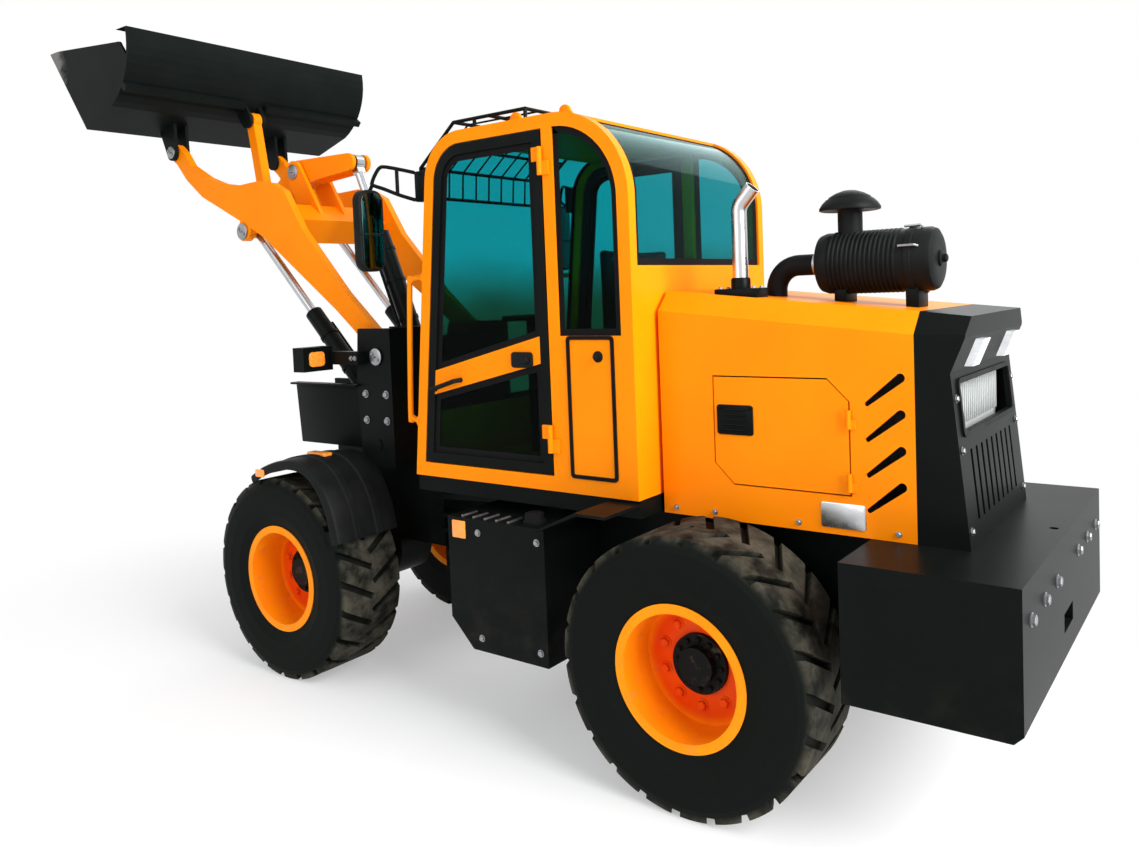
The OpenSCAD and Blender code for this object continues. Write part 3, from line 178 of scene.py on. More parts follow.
class Graph:
    """The node tree of a material or the world, built node by node."""

    def __init__(self, tree: bpy.types.NodeTree) -> None:
        """Starts with an empty tree.

        Args:
            tree: The tree to fill.
        """
        self.tree = tree
        self.tree.nodes.clear()
        self._place: Optional[tuple[Socket, Socket, Socket]] = None
        self._coords: Optional[Socket] = None
        self.material: Optional[bpy.types.Material] = None

    @classmethod
    def of_material(cls, name: str) -> "Graph":
        """Makes a new material of that name.

        Args:
            name: The material's name.

        Returns:
            Its empty graph.
        """
        material = bpy.data.materials.new(name)
        material.use_nodes = True
        graph = cls(material.node_tree)
        graph.material = material
        return graph

    def node(
        self,
        kind: str,
        settings: Optional[dict[str, object]] = None,
        inputs: Optional[dict[Union[int, str], object]] = None,
    ) -> Outputs:
        """Adds one node.

        Args:
            kind: The node's type name.
            settings: Properties that are set first.
            inputs: Values or Sockets for its inputs, by index or name.

        Returns:
            The node's outputs.
        """
        made = self.tree.nodes.new(kind)
        for key, value in (settings or {}).items():
            setattr(made, key, value)
        for key, value in (inputs or {}).items():
            socket = made.inputs[key]
            if isinstance(value, Socket):
                self.tree.links.new(value.output, socket)
            elif socket.type == "RGBA":
                socket.default_value = (*value, 1.0)
            else:
                socket.default_value = value
        return Outputs(self, made)

    def coords(self) -> Socket:
        """The piece's own coordinates, which are the row frame's at rest.

        Returns:
            The coordinates.
        """
        if self._coords is None:
            self._coords = self.node("ShaderNodeTexCoord")["Object"]
        return self._coords

    def place(self) -> tuple[Socket, Socket, Socket]:
        """The coordinates split into X, Y and Z.

        Returns:
            The three values.
        """
        if self._place is None:
            parts = self.node("ShaderNodeSeparateXYZ", None, {0: self.coords()})
            self._place = (parts[0], parts[1], parts[2])
        return self._place

    def noise(
        self, scale: float, detail: float = 4.0, rough: float = 0.55, stretch: Point = (1, 1, 1)
    ) -> Socket:
        """A noise value over the piece.

        Args:
            scale: Waves per metre.
            detail: Octaves.
            rough: Weight of the fine octaves.
            stretch: Factors on X, Y and Z.

        Returns:
            The noise, about 0.5 on average.
        """
        vector = self.coords()
        if stretch != (1, 1, 1):
            vector = self.node("ShaderNodeVectorMath", {"operation": "MULTIPLY"}, {0: vector, 1: stretch})[0]
        inputs = {"Vector": vector, "Scale": scale, "Detail": detail, "Roughness": rough}
        return self.node("ShaderNodeTexNoise", None, inputs)[0]

    def mix(self, factor: Value, a: object, b: object) -> Socket:
        """Mixes two colours, or Sockets of one: factor 0 gives a and 1 gives b."""
        return self.node("ShaderNodeMix", {"data_type": "RGBA"}, {"Factor": factor, 6: a, 7: b})[2]

    def bump(self, height: Socket, strength: float, distance: float) -> Socket:
        """A normal bent by a height, with the effect's share and the depth of one unit in metres."""
        inputs = {"Strength": strength, "Distance": distance, "Height": height}
        return self.node("ShaderNodeBump", None, inputs)[0]

    def seen(self) -> Socket:
        """1 where the camera, a reflection or glass looks, else 0."""
        path = self.node("ShaderNodeLightPath")
        return path["Is Camera Ray"].largest(path["Is Glossy Ray"]).largest(path["Is Transmission Ray"])

    def finish(self, **sockets: object) -> bpy.types.Material:
        """Ends the graph in one principled shader.

        Args:
            sockets: Shader inputs by name, with underscores for spaces.

        Returns:
            The finished material.
        """
        inputs = {key.replace("_", " "): value for key, value in sockets.items()}
        shader = self.node("ShaderNodeBsdfPrincipled", None, inputs)
        self.node("ShaderNodeOutputMaterial", None, {"Surface": shader["BSDF"]})
        return self.material


@dataclass(frozen=True)
class Paint:
    """Sprayed machine paint: even colour with faint clouding, orange peel, dust low down and dull scuffs."""

    name: str
    colour: Colour
    shade: Colour
    rough: float = 0.38
    coat: float = 0.02
    specular: float = 0.05
    dust: Colour = (0.3, 0.22, 0.14)
    dust_z: Pair = (0.25, 0.9)
    dust_share: float = 0.1

    def make(self) -> bpy.types.Material:
        """Builds the paint.

        Returns:
            The material.
        """
        g = Graph.of_material(self.name)
        _, _, z = g.place()
        cloud = g.noise(3.2).ramp(0.3, 0.7)
        grime = g.noise(11.0, 7.0, 0.65)
        colour = g.mix(cloud * 0.7, self.colour, self.shade)
        low = (1.0 - z.ramp(*self.dust_z)) * grime.ramp(0.42, 0.72) * self.dust_share
        colour = g.mix(low, colour, self.dust)
        scuff = g.noise(38.0, 5.0, 0.7, (1.0, 1.0, 3.0)).ramp(0.62, 0.8)
        rough = self.rough + 0.16 * scuff + 0.3 * low
        peel = g.noise(260.0, 2.0, 0.5)
        return g.finish(
            Base_Color=colour,
            Roughness=rough,
            Coat_Weight=(1.0 - low) * self.coat,
            Coat_Roughness=0.12,
            Specular_IOR_Level=self.specular,
            Normal=g.bump(peel, 0.12, 0.0006),
        )


@dataclass(frozen=True)
class WornSteel:
    """Black bucket paint, scraped to bare steel towards the cutting edge."""

    name: str = "bucket_paint"
    colour: Colour = (0.004, 0.006, 0.0055)
    steel: Colour = (0.2, 0.19, 0.18)
    faded: float = 1.7
    edge: Pair = (2.52, 2.86)
    scrape_reach: float = 0.5
    streak: Point = (0.6, 9.0, 0.6)

    def make(self) -> bpy.types.Material:
        """Builds the paint.

        Returns:
            The material.
        """
        g = Graph.of_material(self.name)
        x, _, _ = g.place()
        scrape = g.noise(9.0, 6.0, 0.68, self.streak)
        bare = (scrape * 0.75 + 0.5 * x.ramp(*self.edge)).ramp(0.58, 0.8)
        bare = bare * x.ramp(self.edge[0] - self.scrape_reach, self.edge[1])
        cloud = g.noise(3.2).ramp(0.3, 0.7)
        paint = g.mix(cloud * 0.6, self.colour, scaled(self.colour, self.faded))
        return g.finish(
            Base_Color=g.mix(bare, paint, self.steel),
            Metallic=bare * 0.8,
            Roughness=0.42 + 0.12 * scrape,
            Specular_IOR_Level=0.05,
            Normal=g.bump(scrape, 0.12, 0.001),
        )


@dataclass(frozen=True)
class RimPaint:
    """Wheel paint: warm yellow barrel, a redder and darker dish that is painted shade in the wheel's recess,
    and a black hub, with dust in patches.
    """

    name: str = "wheel_paint"
    colour: Colour = (0.97, 0.29, 0.003)
    # Painted shade: a redder, darker copy of the wheel paint for the recessed dish.
    dish_shade: Colour = (0.76, 0.045, 0.002)
    hub: Colour = (0.005, 0.006, 0.006)
    dust: Colour = (0.25, 0.17, 0.1)
    dish_shade_r: Pair = (0.2, 0.26)
    hub_r: float = 0.119
    hub_from: float = -0.02

    def make(self) -> bpy.types.Material:
        """Builds the wheel paint.

        Returns:
            The material.
        """
        g = Graph.of_material(self.name)
        radius, across = wheel_radius(g)
        # Painted shade over the recessed dish, inside the barrel.
        dish_shade_mask = 1.0 - radius.ramp(*self.dish_shade_r)
        cloud = g.noise(7.0, 5.0).ramp(0.3, 0.75)
        colour = g.mix(dish_shade_mask * 0.85 + 0.12 * cloud, self.colour, self.dish_shade)
        hub = radius.below(self.hub_r) * across.above(self.hub_from)
        colour = g.mix(hub, colour, self.hub)
        grime = g.noise(16.0, 6.0, 0.65).ramp(0.55, 0.75) * 0.25
        colour = g.mix(grime, colour, self.dust)
        return g.finish(
            Base_Color=colour,
            Roughness=0.4 + 0.4 * grime,
            Coat_Weight=(1.0 - hub) * 0.03,
            Specular_IOR_Level=0.07,
            Normal=g.bump(g.noise(220.0, 2.0), 0.12, 0.0006),
        )


def scaled(colour: Colour, factor: float, lift: float = 0.0) -> Colour:
    """A colour times a factor, with an even lift."""
    return tuple(factor * c + lift for c in colour)


def wheel_radius(g: Graph) -> tuple[Socket, Socket]:
    """Distance from the nearest wheel's axis, and across the wheel.

    Args:
        g: The graph to build in.

    Returns:
        The radius and the outward distance from the tyre's middle plane.
    """
    x, y, z = g.place()
    along = abs(x - PIVOT_X) - AXLE
    up = z - AXLE_Z
    radius = (along * along + up * up).root()
    return radius, abs(y) - TREAD_HALF


@dataclass(frozen=True)
class Rubber:
    """Tyre rubber: black walls with fine moulded rings, and dusty grey-brown tread tops."""

    name: str = "tyre_rubber"
    wall: Colour = (0.0045, 0.006, 0.005)
    worn: Colour = (0.085, 0.078, 0.058)
    tread_r: Pair = (0.5, 0.535)
    ring_r: Pair = (0.3, 0.32)
    ring_waves: float = 520.0

    def make(self) -> bpy.types.Material:
        """Builds the rubber.

        Returns:
            The material.
        """
        g = Graph.of_material(self.name)
        radius, _ = wheel_radius(g)
        top = radius.ramp(*self.tread_r)
        patch = g.noise(9.0, 7.0, 0.62).ramp(0.32, 0.72)
        grain = g.noise(90.0, 5.0, 0.7)
        colour = g.mix(top * patch * 0.85, self.wall, self.worn)
        colour = g.mix(grain.ramp(0.62, 0.85) * 0.22, colour, self.worn)
        rings = (radius * self.ring_waves).sine() * 0.5 + 0.5
        rings = rings * (1.0 - top) * radius.ramp(*self.ring_r)
        height = rings * 0.35 + grain
        return g.finish(
            Base_Color=colour,
            Roughness=0.62 + 0.25 * top * patch,
            Specular_IOR_Level=0.05,
            Normal=g.bump(height, 0.45, 0.0016),
        )


@dataclass(frozen=True)
class Glazing:
    """Tinted safety glass: clear to look through, with a painted reflection of trees that makes it greener
    and darker low down, and faint smears.
    """

    name: str = "tinted_glass"
    tint: Colour = (0.05, 0.5, 0.54)
    # The second colour is a painted reflection of trees: a dark green laid on the glass low down.
    shade: Colour = (0.05, 0.2, 0.14)
    tree_reflection_z: Pair = (1.85, 2.25)
    smear: float = 0.05

    def make(self) -> bpy.types.Material:
        """Builds the glass.

        Returns:
            The material.
        """
        g = Graph.of_material(self.name)
        _, _, z = g.place()
        smear = g.noise(5.0, 4.0).ramp(0.35, 0.8)
        # Painted reflection of trees: below a wavy height the glass takes the dark green colour.
        edge = (z + 0.3 * (g.noise(2.2, 3.0) - 0.5)).ramp(*self.tree_reflection_z)
        return g.finish(
            Base_Color=g.mix(edge, self.shade, self.tint),
            Roughness=self.smear * smear,
            Transmission_Weight=1.0,
            IOR=1.1,
        )


@dataclass(frozen=True)
class BareMetal:
    """Plain metal: polished, brushed or cast, with smudges."""

    name: str
    colour: Colour
    rough: float
    smudge: float = 0.15
    grain: float = 60.0
    metallic: float = 1.0

    def make(self) -> bpy.types.Material:
        """Builds the metal.

        Returns:
            The material.
        """
        g = Graph.of_material(self.name)
        cloud = g.noise(14.0, 6.0, 0.6).ramp(0.35, 0.75)
        fine = g.noise(self.grain, 4.0, 0.7)
        return g.finish(
            Base_Color=g.mix(cloud * 0.5, self.colour, scaled(self.colour, 0.7)),
            Metallic=self.metallic,
            Roughness=self.rough + self.smudge * cloud,
            Normal=g.bump(fine, 0.1, 0.0008),
        )


@dataclass(frozen=True)
class Moulded:
    """Moulded plastic or vinyl with a fine grained skin."""

    name: str
    colour: Colour
    rough: float = 0.5
    grain: float = 420.0
    depth: float = 0.0005
    specular: float = 0.07

    def make(self) -> bpy.types.Material:
        """Builds the plastic.

        Returns:
            The material.
        """
        g = Graph.of_material(self.name)
        cloud = g.noise(6.0, 5.0).ramp(0.35, 0.7)
        grain = g.noise(self.grain, 3.0, 0.6)
        return g.finish(
            Base_Color=g.mix(cloud * 0.5, self.colour, scaled(self.colour, 1.8, 0.002)),
            Roughness=self.rough + 0.12 * cloud,
            Specular_IOR_Level=self.specular,
            Normal=g.bump(grain, 0.35, self.depth),
        )


@dataclass(frozen=True)
class Lens:
    """A lamp lens with moulded ribs, faintly lit from within."""

    name: str
    colour: Colour
    glow: float = 0.15
    rib_waves: float = 420.0

    def make(self) -> bpy.types.Material:
        """Builds the lens.

        Returns:
            The material.
        """
        g = Graph.of_material(self.name)
        _, y, z = g.place()
        ribs = (y * self.rib_waves).sine() * 0.5 + (z * self.rib_waves).sine() * 0.5
        cloud = g.noise(30.0, 3.0).ramp(0.3, 0.8)
        return g.finish(
            Base_Color=g.mix(cloud * 0.5, self.colour, scaled(self.colour, 0.72)),
            Roughness=0.12,
            Coat_Weight=0.5,
            Emission_Color=self.colour,
            Emission_Strength=self.glow,
            Normal=g.bump(ribs, 0.3, 0.002),
        )


class Finish(Protocol):
    """Anything that has a name and makes a material."""

    name: str

    def make(self) -> bpy.types.Material:
        """Builds the material."""


class SubAssembly(Protocol):
    """Anything that builds its own fittings."""

    def build(self, shelf: "Shelf") -> None:
        """Makes the fittings."""


class Shelf:
    """Makes each finish once and dresses pieces in it."""

    def __init__(self, finishes: Iterable[Finish]) -> None:
        """Builds every finish."""
        self.made = {finish.name: finish.make() for finish in finishes}

    def dress(self, piece: bpy.types.Object, name: str) -> None:
        """Gives a piece one finish all over."""
        piece.data.materials.clear()
        piece.data.materials.append(self.made[name])


FINISHES: tuple[Finish, ...] = (
    Paint("amber_paint", (0.97, 0.258, 0.002), (0.95, 0.23, 0.001)),
    Paint("black_paint", (0.0028, 0.0042, 0.0038), (0.005, 0.0066, 0.0062), dust_share=0.04),
    WornSteel(),
    RimPaint(),
    Rubber(),
    Glazing(),
    BareMetal("chrome_rod", (0.5, 0.52, 0.54), 0.16),
    BareMetal("bright_pipe", (0.62, 0.63, 0.64), 0.22),
    BareMetal("radiator_core", (0.5, 0.52, 0.51), 0.4, metallic=0.2),
    BareMetal("plain_bolt", (0.34, 0.35, 0.36), 0.35),
    # The mirror's dark green colour is a painted reflection, in place of a mirror's bright silver.
    BareMetal("mirror_face", (0.05, 0.1, 0.09), 0.06, 0.04),
    BareMetal("engine_grey", (0.06, 0.065, 0.07), 0.55, metallic=0.3),
    Moulded("black_plastic", (0.006, 0.0065, 0.0065), 0.42),
    Moulded("seat_vinyl", (0.02, 0.02, 0.022), 0.55, 300.0, 0.0012),
    Moulded("hose_rubber", (0.006, 0.006, 0.0065), 0.5),
    Moulded("window_seal", (0.004, 0.004, 0.0045), 0.6),
    Lens("clear_lens", (0.85, 0.87, 0.88)),
    Lens("orange_lens", (0.95, 0.3, 0.03)),
)

AMBER_NODES = ("cab_frame", "cab_shell", "hood", "boom", "rocker", "link", "grab_rails")
NODE_FINISH: dict[str, str] = {
    **{node: "amber_paint" for node in AMBER_NODES},
    "bucket": "bucket_paint",
    "radiator": "radiator_core",
    "exhaust": "bright_pipe",
    "engine": "engine_grey",
    "rear_lamps": "clear_lens",
}
PREFIX_FINISH: tuple[tuple[str, str], ...] = (
    ("tyre", "tyre_rubber"),
    ("rim", "wheel_paint"),
    ("hood_door", "amber_paint"),
    ("door_bar", "amber_paint"),
    ("door_glass", "tinted_glass"),
    ("cab_glass", "tinted_glass"),
    ("lift_rod", "chrome_rod"),
    ("tilt_rod", "chrome_rod"),
    ("steer_rod", "chrome_rod"),
    ("air_cleaner", "black_plastic"),
    ("mirrors", "black_plastic"),
    ("seat", "seat_vinyl"),
    ("steering_column", "black_plastic"),
    ("console", "black_plastic"),
)


def node_finish(node: str) -> str:
    """The finish of a CAD node.

    Args:
        node: The node's name.

    Returns:
        The finish's name; black paint where nothing else is stated.
    """
    if node in NODE_FINISH:
        return NODE_FINISH[node]
    for prefix, finish in PREFIX_FINISH:
        if node.startswith(prefix):
            return finish
    return "black_paint"


class Plane(Enum):
    """A drawing plane, by what an outline's two numbers and its depth stand for."""

    SIDE = "X and Z, deep along Y"
    TOP = "X and Y, deep along Z"
    REAR = "Y and Z, deep along X"

    def point(self, a: float, b: float, depth: float) -> Vector:
        """A point of the outline at a depth.

        Args:
            a: First outline number.
            b: Second outline number.
            depth: Place along the third axis.

        Returns:
            The point in the machine's axes.
        """
        if self is Plane.SIDE:
            return Vector((a, depth, b))
        if self is Plane.TOP:
            return Vector((a, b, depth))
        return Vector((depth, a, b))


def rounded(low: Pair, high: Pair, radius: float, steps: int = 4) -> list[Pair]:
    """A rectangle with round corners.

    Args:
        low: Its low corner.
        high: Its high corner.
        radius: Corner radius.
        steps: Segments of one corner.

    Returns:
        The outline's points.
    """
    corners = ((high[0], high[1], 0), (low[0], high[1], 90), (low[0], low[1], 180), (high[0], low[1], 270))
    points: list[Pair] = []
    for x, y, start in corners:
        inward_x = x - radius if x == high[0] else x + radius
        inward_y = y - radius if y == high[1] else y + radius
        for step in range(steps + 1):
            angle = math.radians(start + 90 * step / steps)
            points.append((inward_x + radius * math.cos(angle), inward_y + radius * math.sin(angle)))
    return points


def grown(low: Pair, high: Pair, by: float) -> tuple[Pair, Pair]:
    """The corners of a rectangle whose sides move outward."""
    return (low[0] - by, low[1] - by), (high[0] + by, high[1] + by)


def about(middle: Pair, half: Pair) -> tuple[Pair, Pair]:
    """The corners of a rectangle round its middle."""
    return (middle[0] - half[0], middle[1] - half[1]), (middle[0] + half[0], middle[1] + half[1])


def heading(points: Sequence[Vector], i: int) -> Vector:
    """Direction of a line at one of its points, from the point before to the point after."""
    return (points[min(i + 1, len(points) - 1)] - points[max(i - 1, 0)]).normalized()


def eased(points: Sequence[Point], steps: int = 6) -> list[Point]:
    """A smooth line through points.

    Args:
        points: The points, in order.
        steps: Stations between two points.

    Returns:
        The line's points.
    """
    known = [Vector(p) for p in points]
    line: list[Point] = []
    for i in range(len(known) - 1):
        before, start, end = known[max(i - 1, 0)], known[i], known[i + 1]
        after = known[min(i + 2, len(known) - 1)]
        for step in range(steps):
            t = step / steps
            drift = (end - before) * t + (2 * before - 5 * start + 4 * end - after) * t**2
            drift += (3 * start - before - 3 * end + after) * t**3
            line.append(tuple(start + 0.5 * drift))
    return line + [tuple(known[-1])]


class Form:
    """A mesh piece in the making, drawn in the machine's axes: metres, X from the articulation axis."""

    def __init__(self) -> None:
        """Starts with no faces."""
        self.mesh = bmesh.new()

    def plate(
        self, plane: Plane, outline: Sequence[Pair], low: float, high: float, edge: float
    ) -> "Form":
        """Adds a plate with softened edges.

        Args:
            plane: Plane of the outline.
            outline: Its corner points, in order.
            low: Depth at which it starts.
            high: Depth at which it ends.
            edge: Width of the rounded edges.

        Returns:
            The form itself.
        """
        loops = [self._drawn(plane, outline, depth) for depth in (low, high)]
        faces = [self.mesh.faces.new(loop) for loop in loops] + self._skin(loops)
        self.outward(faces)
        edges = list(dict.fromkeys(e for face in faces for e in face.edges))
        bmesh.ops.bevel(
            self.mesh, geom=edges, offset=edge, segments=2, profile=0.5, affect="EDGES", clamp_overlap=True
        )
        return self

    def ring(
        self, plane: Plane, outer: Sequence[Pair], inner: Sequence[Pair], low: float, high: float
    ) -> "Form":
        """Adds a flat frame between two loops of as many points.

        Args:
            plane: Plane of the loops.
            outer: Outer loop.
            inner: Inner loop.
            low: Depth at which it starts.
            high: Depth at which it ends.

        Returns:
            The form itself.
        """
        stations = ((outer, low), (outer, high), (inner, high), (inner, low))
        loops = [self._drawn(plane, outline, depth) for outline, depth in stations]
        self.outward(self._skin(loops + loops[:1]))
        return self

    def bar(self, path: Sequence[Point], radius: float, steps: int = 10) -> "Form":
        """Adds a round bar along a path.

        Args:
            path: Points of its centre line.
            radius: Its radius.
            steps: Sides of the round.

        Returns:
            The form itself.
        """
        points = [Vector(p) for p in path]
        side: Optional[Vector] = None
        loops = []
        for i, point in enumerate(points):
            ahead = heading(points, i)
            if side is None:
                side = ahead.orthogonal()
            side = (side - ahead * side.dot(ahead)).normalized()
            loops.append(self._round(point, side, ahead.cross(side), radius, steps))
        return self._closed(loops)

    def turned(
        self, profile: Sequence[Pair], at: Point, axis: Point, steps: int = 32, hollow: bool = False
    ) -> "Form":
        """Adds a turned solid, closed at both ends, or a band with a hole through it.

        Args:
            profile: Radius and distance along the axis, in order.
            at: Point from which the distance counts.
            axis: Direction of the axis.
            steps: Sides of the round.
            hollow: True joins the profile's end to its start.

        Returns:
            The form itself.
        """
        along = Vector(axis).normalized()
        side = along.orthogonal().normalized()
        other = along.cross(side)
        loops = [self._round(Vector(at) + along * d, side, other, r, steps) for r, d in profile]
        if not hollow:
            return self._closed(loops)
        self.outward(self._skin(loops + loops[:1]))
        return self

    def swept(self, line: Sequence[Pair], section: Sequence[Pair]) -> "Form":
        """Adds a bent panel: one section carried along a line in the side plane.

        Args:
            line: X and Z of the panel's outer face, from front to rear over the top.
            section: Place across the machine and height above the outer face, in order round the section.

        Returns:
            The form itself.
        """
        points = [Vector((x, 0.0, z)) for x, z in line]
        loops = []
        for i, point in enumerate(points):
            ahead = heading(points, i)
            out = Vector((ahead.z, 0.0, -ahead.x))
            loops.append([self.mesh.verts.new(point + out * up + Vector((0.0, y, 0.0))) for y, up in section])
        return self._closed(loops)

    def bolts(self, places: Iterable[Point], axis: Point, size: float) -> "Form":
        """Adds hexagon bolt heads on washers.

        Args:
            places: Where the washers sit.
            axis: Direction in which the heads point.
            size: Radius over the corners.

        Returns:
            The form itself.
        """
        washer = ((1.35 * size, 0.0), (1.35 * size, 0.18 * size), (0.9 * size, 0.2 * size))
        head = ((size, 0.0), (size, 0.75 * size), (0.8 * size, 0.95 * size))
        for at in places:
            self.turned(washer, at, axis, 16).turned(head, at, axis, 6)
        return self

    def mirrored(self) -> "Form":
        """Adds the same on the machine's other side.

        Returns:
            The form itself.
        """
        everything = self.mesh.verts[:] + self.mesh.edges[:] + self.mesh.faces[:]
        copied = bmesh.ops.duplicate(self.mesh, geom=everything)["geom"]
        verts = [part for part in copied if isinstance(part, bmesh.types.BMVert)]
        faces = [part for part in copied if isinstance(part, bmesh.types.BMFace)]
        for vert in verts:
            vert.co.y = -vert.co.y
        bmesh.ops.reverse_faces(self.mesh, faces=faces)
        return self

    def make(self, name: str, body: str, finish: str, shelf: Shelf) -> bpy.types.Object:
        """Turns the form into a piece that rides on a body.

        Args:
            name: The piece's name.
            body: The body it rides on.
            finish: Its finish.
            shelf: Where the finishes are.

        Returns:
            The piece.
        """
        for vert in self.mesh.verts:
            vert.co.x += PIVOT_X
        mesh = bpy.data.meshes.new(name)
        self.mesh.to_mesh(mesh)
        self.mesh.free()
        piece = bpy.data.objects.new(name, mesh)
        bpy.context.scene.collection.objects.link(piece)
        mesh.shade_smooth()
        mesh.set_sharp_from_angle(angle=math.radians(35))
        shelf.dress(piece, finish)
        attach(piece, body)
        LOG.info("%s: %d faces of %s on %s", name, len(mesh.polygons), finish, body)
        return piece

    def _drawn(self, plane: Plane, outline: Sequence[Pair], depth: float) -> Loop:
        """The points of an outline at a depth."""
        return [self.mesh.verts.new(plane.point(a, b, depth)) for a, b in outline]

    def _round(self, middle: Vector, side: Vector, other: Vector, radius: float, steps: int) -> Loop:
        """The points of a circle in the plane of two directions.

        Args:
            middle: Its middle.
            side: Direction of its first point.
            other: The direction square to it.
            radius: Its radius.
            steps: How many points.

        Returns:
            The points, in order.
        """
        turns = [math.tau * k / steps for k in range(steps)]
        places = [middle + radius * (side * math.cos(a) + other * math.sin(a)) for a in turns]
        return [self.mesh.verts.new(place) for place in places]

    def _closed(self, loops: list[Loop]) -> "Form":
        """Skins loops and closes both ends.

        Args:
            loops: Closed loops of as many points.

        Returns:
            The form itself.
        """
        faces = self._skin(loops)
        faces += [self.mesh.faces.new(loop) for loop in (loops[0], loops[-1])]
        self.outward(faces)
        return self

    def _skin(self, loops: list[Loop]) -> list[bmesh.types.BMFace]:
        """Faces between neighbouring loops.

        Args:
            loops: Closed loops of as many points.

        Returns:
            The new faces.
        """
        faces = []
        for first, second in zip(loops, loops[1:]):
            for i in range(len(first)):
                j = (i + 1) % len(first)
                faces.append(self.mesh.faces.new((first[i], first[j], second[j], second[i])))
        return faces

    def outward(self, faces: list[bmesh.types.BMFace]) -> None:
        """Turns new faces outward."""
        bmesh.ops.recalc_face_normals(self.mesh, faces=faces)


def side_name(name: str, side: Side) -> str:
    """A name with left or right behind it."""
    return f"{name}_{side.name.lower()}"


@dataclass
class Wheels:
    """Wheel nuts, hub bolts and valve of the four wheels."""

    face_y: float = TREAD_HALF
    nut_circle: float = 0.168
    nuts: int = 10
    nut_r: float = 0.019
    hub_y: float = TREAD_HALF + 0.02
    hub_circle: float = 0.097
    hub_bolts: int = 12
    hub_bolt_r: float = 0.011
    valve_circle: float = 0.222
    valve_turn: float = 2.2
    valve: Line = ((0.009, 0.0), (0.007, 0.02), (0.006, 0.045), (0.004, 0.047))

    def build(self, shelf: Shelf) -> None:
        """Makes the fittings of each wheel.

        Args:
            shelf: Where the finishes are.
        """
        nut_turns = [math.tau * (i + 0.5) / self.nuts for i in range(self.nuts)]
        hub_turns = [math.tau * i / self.hub_bolts for i in range(self.hub_bolts)]
        for end, where in ((1, "front"), (-1, "rear")):
            for side in Side:
                body = side_name(f"wheel_{where}", side)
                out = (0, side.value, 0)
                nuts = [self._spot(end, side, self.nut_circle, turn, self.face_y) for turn in nut_turns]
                hub = [self._spot(end, side, self.hub_circle, turn, self.hub_y) for turn in hub_turns]
                valve = self._spot(end, side, self.valve_circle, self.valve_turn, self.face_y)
                Form().bolts(nuts, out, self.nut_r).make(f"{body}_nuts", body, "wheel_paint", shelf)
                Form().bolts(hub, out, self.hub_bolt_r).make(f"{body}_hub_bolts", body, "black_paint", shelf)
                Form().turned(self.valve, valve, out, 12).make(f"{body}_valve", body, "hose_rubber", shelf)

    def _spot(self, end: int, side: Side, radius: float, turn: float, y: float) -> Point:
        """A point round the axis of the wheel at that end (1 front, -1 rear) and side."""
        return (end * AXLE + radius * math.cos(turn), side.value * y, AXLE_Z + radius * math.sin(turn))


@dataclass
class Cab:
    """Quarter panel seal, its knob and the roof's lifting lugs."""

    panel_low: Pair = (-0.845, 1.205)
    panel_high: Pair = (-0.6, 1.815)
    panel_r: float = 0.018
    seal: float = 0.016
    seal_t: float = 0.006
    knob: Point = (-0.763, CAB_Y, 1.728)
    knob_profile: Line = ((0.024, 0.0), (0.024, 0.004), (0.012, 0.008), (0.014, 0.02), (0.008, 0.024))
    lugs: Line = ((-0.555, 0.5), (-0.3, 0.53), (-0.3, -0.53))
    lug_foot: float = 0.05
    lug_rise: float = 0.026
    lug_eye: Pair = (0.028, 0.024)
    lug_half: float = 0.009

    def build(self, shelf: Shelf) -> None:
        """Makes the cab's fittings.

        Args:
            shelf: Where the finishes are.
        """
        outer = rounded(self.panel_low, self.panel_high, self.panel_r)
        inner = rounded(*grown(self.panel_low, self.panel_high, -self.seal), 0.4 * self.panel_r)
        seal = Form().ring(Plane.SIDE, outer, inner, CAB_Y, CAB_Y + self.seal_t)
        seal.mirrored().make("quarter_panel_seal", "rear", "window_seal", shelf)
        knobs = Form().turned(self.knob_profile, self.knob, (0, 1, 0), 20)
        knobs.mirrored().make("quarter_panel_knobs", "rear", "black_plastic", shelf)
        lugs = Form()
        for x, y in self.lugs:
            lugs.plate(Plane.SIDE, self._lug(x), y - self.lug_half, y + self.lug_half, EDGE)
        lugs.make("roof_lugs", "rear", "amber_paint", shelf)

    def _lug(self, x: float) -> list[Pair]:
        """Outline of a lifting lug: a broad foot under a round eye.

        Args:
            x: Its middle.

        Returns:
            The outline's points.
        """
        outline = [(x - self.lug_foot, ROOF_Z), (x + self.lug_foot, ROOF_Z)]
        wide, high = self.lug_eye
        for step in range(9):
            angle = math.pi * step / 8
            outline.append((x + wide * math.cos(angle), ROOF_Z + self.lug_rise + high * math.sin(angle)))
        return outline


@dataclass
class RoofGuard:
    """Bent bar guard over the cab's front edge, which stands for the plain CAD bars."""

    half: float = 0.5
    line: Line = ((-0.33, 2.832), (0.115, 2.832), (0.352, 2.64), (0.362, 2.5))
    between: Line = ((-0.11, 2.832), (0.234, 2.736))
    bars: int = 11
    frame_r: float = 0.009
    bar_r: float = 0.005
    feet_x: Pair = (-0.33, -0.02)

    def build(self, shelf: Shelf) -> None:
        """Makes the guard and hides the CAD bars."""
        guard = self._bars().make("roof_guard_bars", "rear", "black_paint", shelf)
        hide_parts("roof_guard")

    def _bars(self) -> Form:
        """Long bars, cross rungs and feet.

        Returns:
            The form.
        """
        form = Form()
        for i in range(self.bars):
            y = self.half * (2 * i / (self.bars - 1) - 1)
            radius = self.frame_r if i in (0, self.bars - 1) else self.bar_r
            form.bar([(x, y, z) for x, z in self.line], radius, 8)
        for x, z in sorted(self.line + self.between):
            form.bar([(x, -self.half, z), (x, self.half, z)], self.frame_r, 8)
        for side in Side:
            y = side.value * self.half
            for x in self.feet_x:
                form.bar([(x, y, ROOF_Z), (x, y, self.line[0][1])], self.frame_r, 8)
        return form


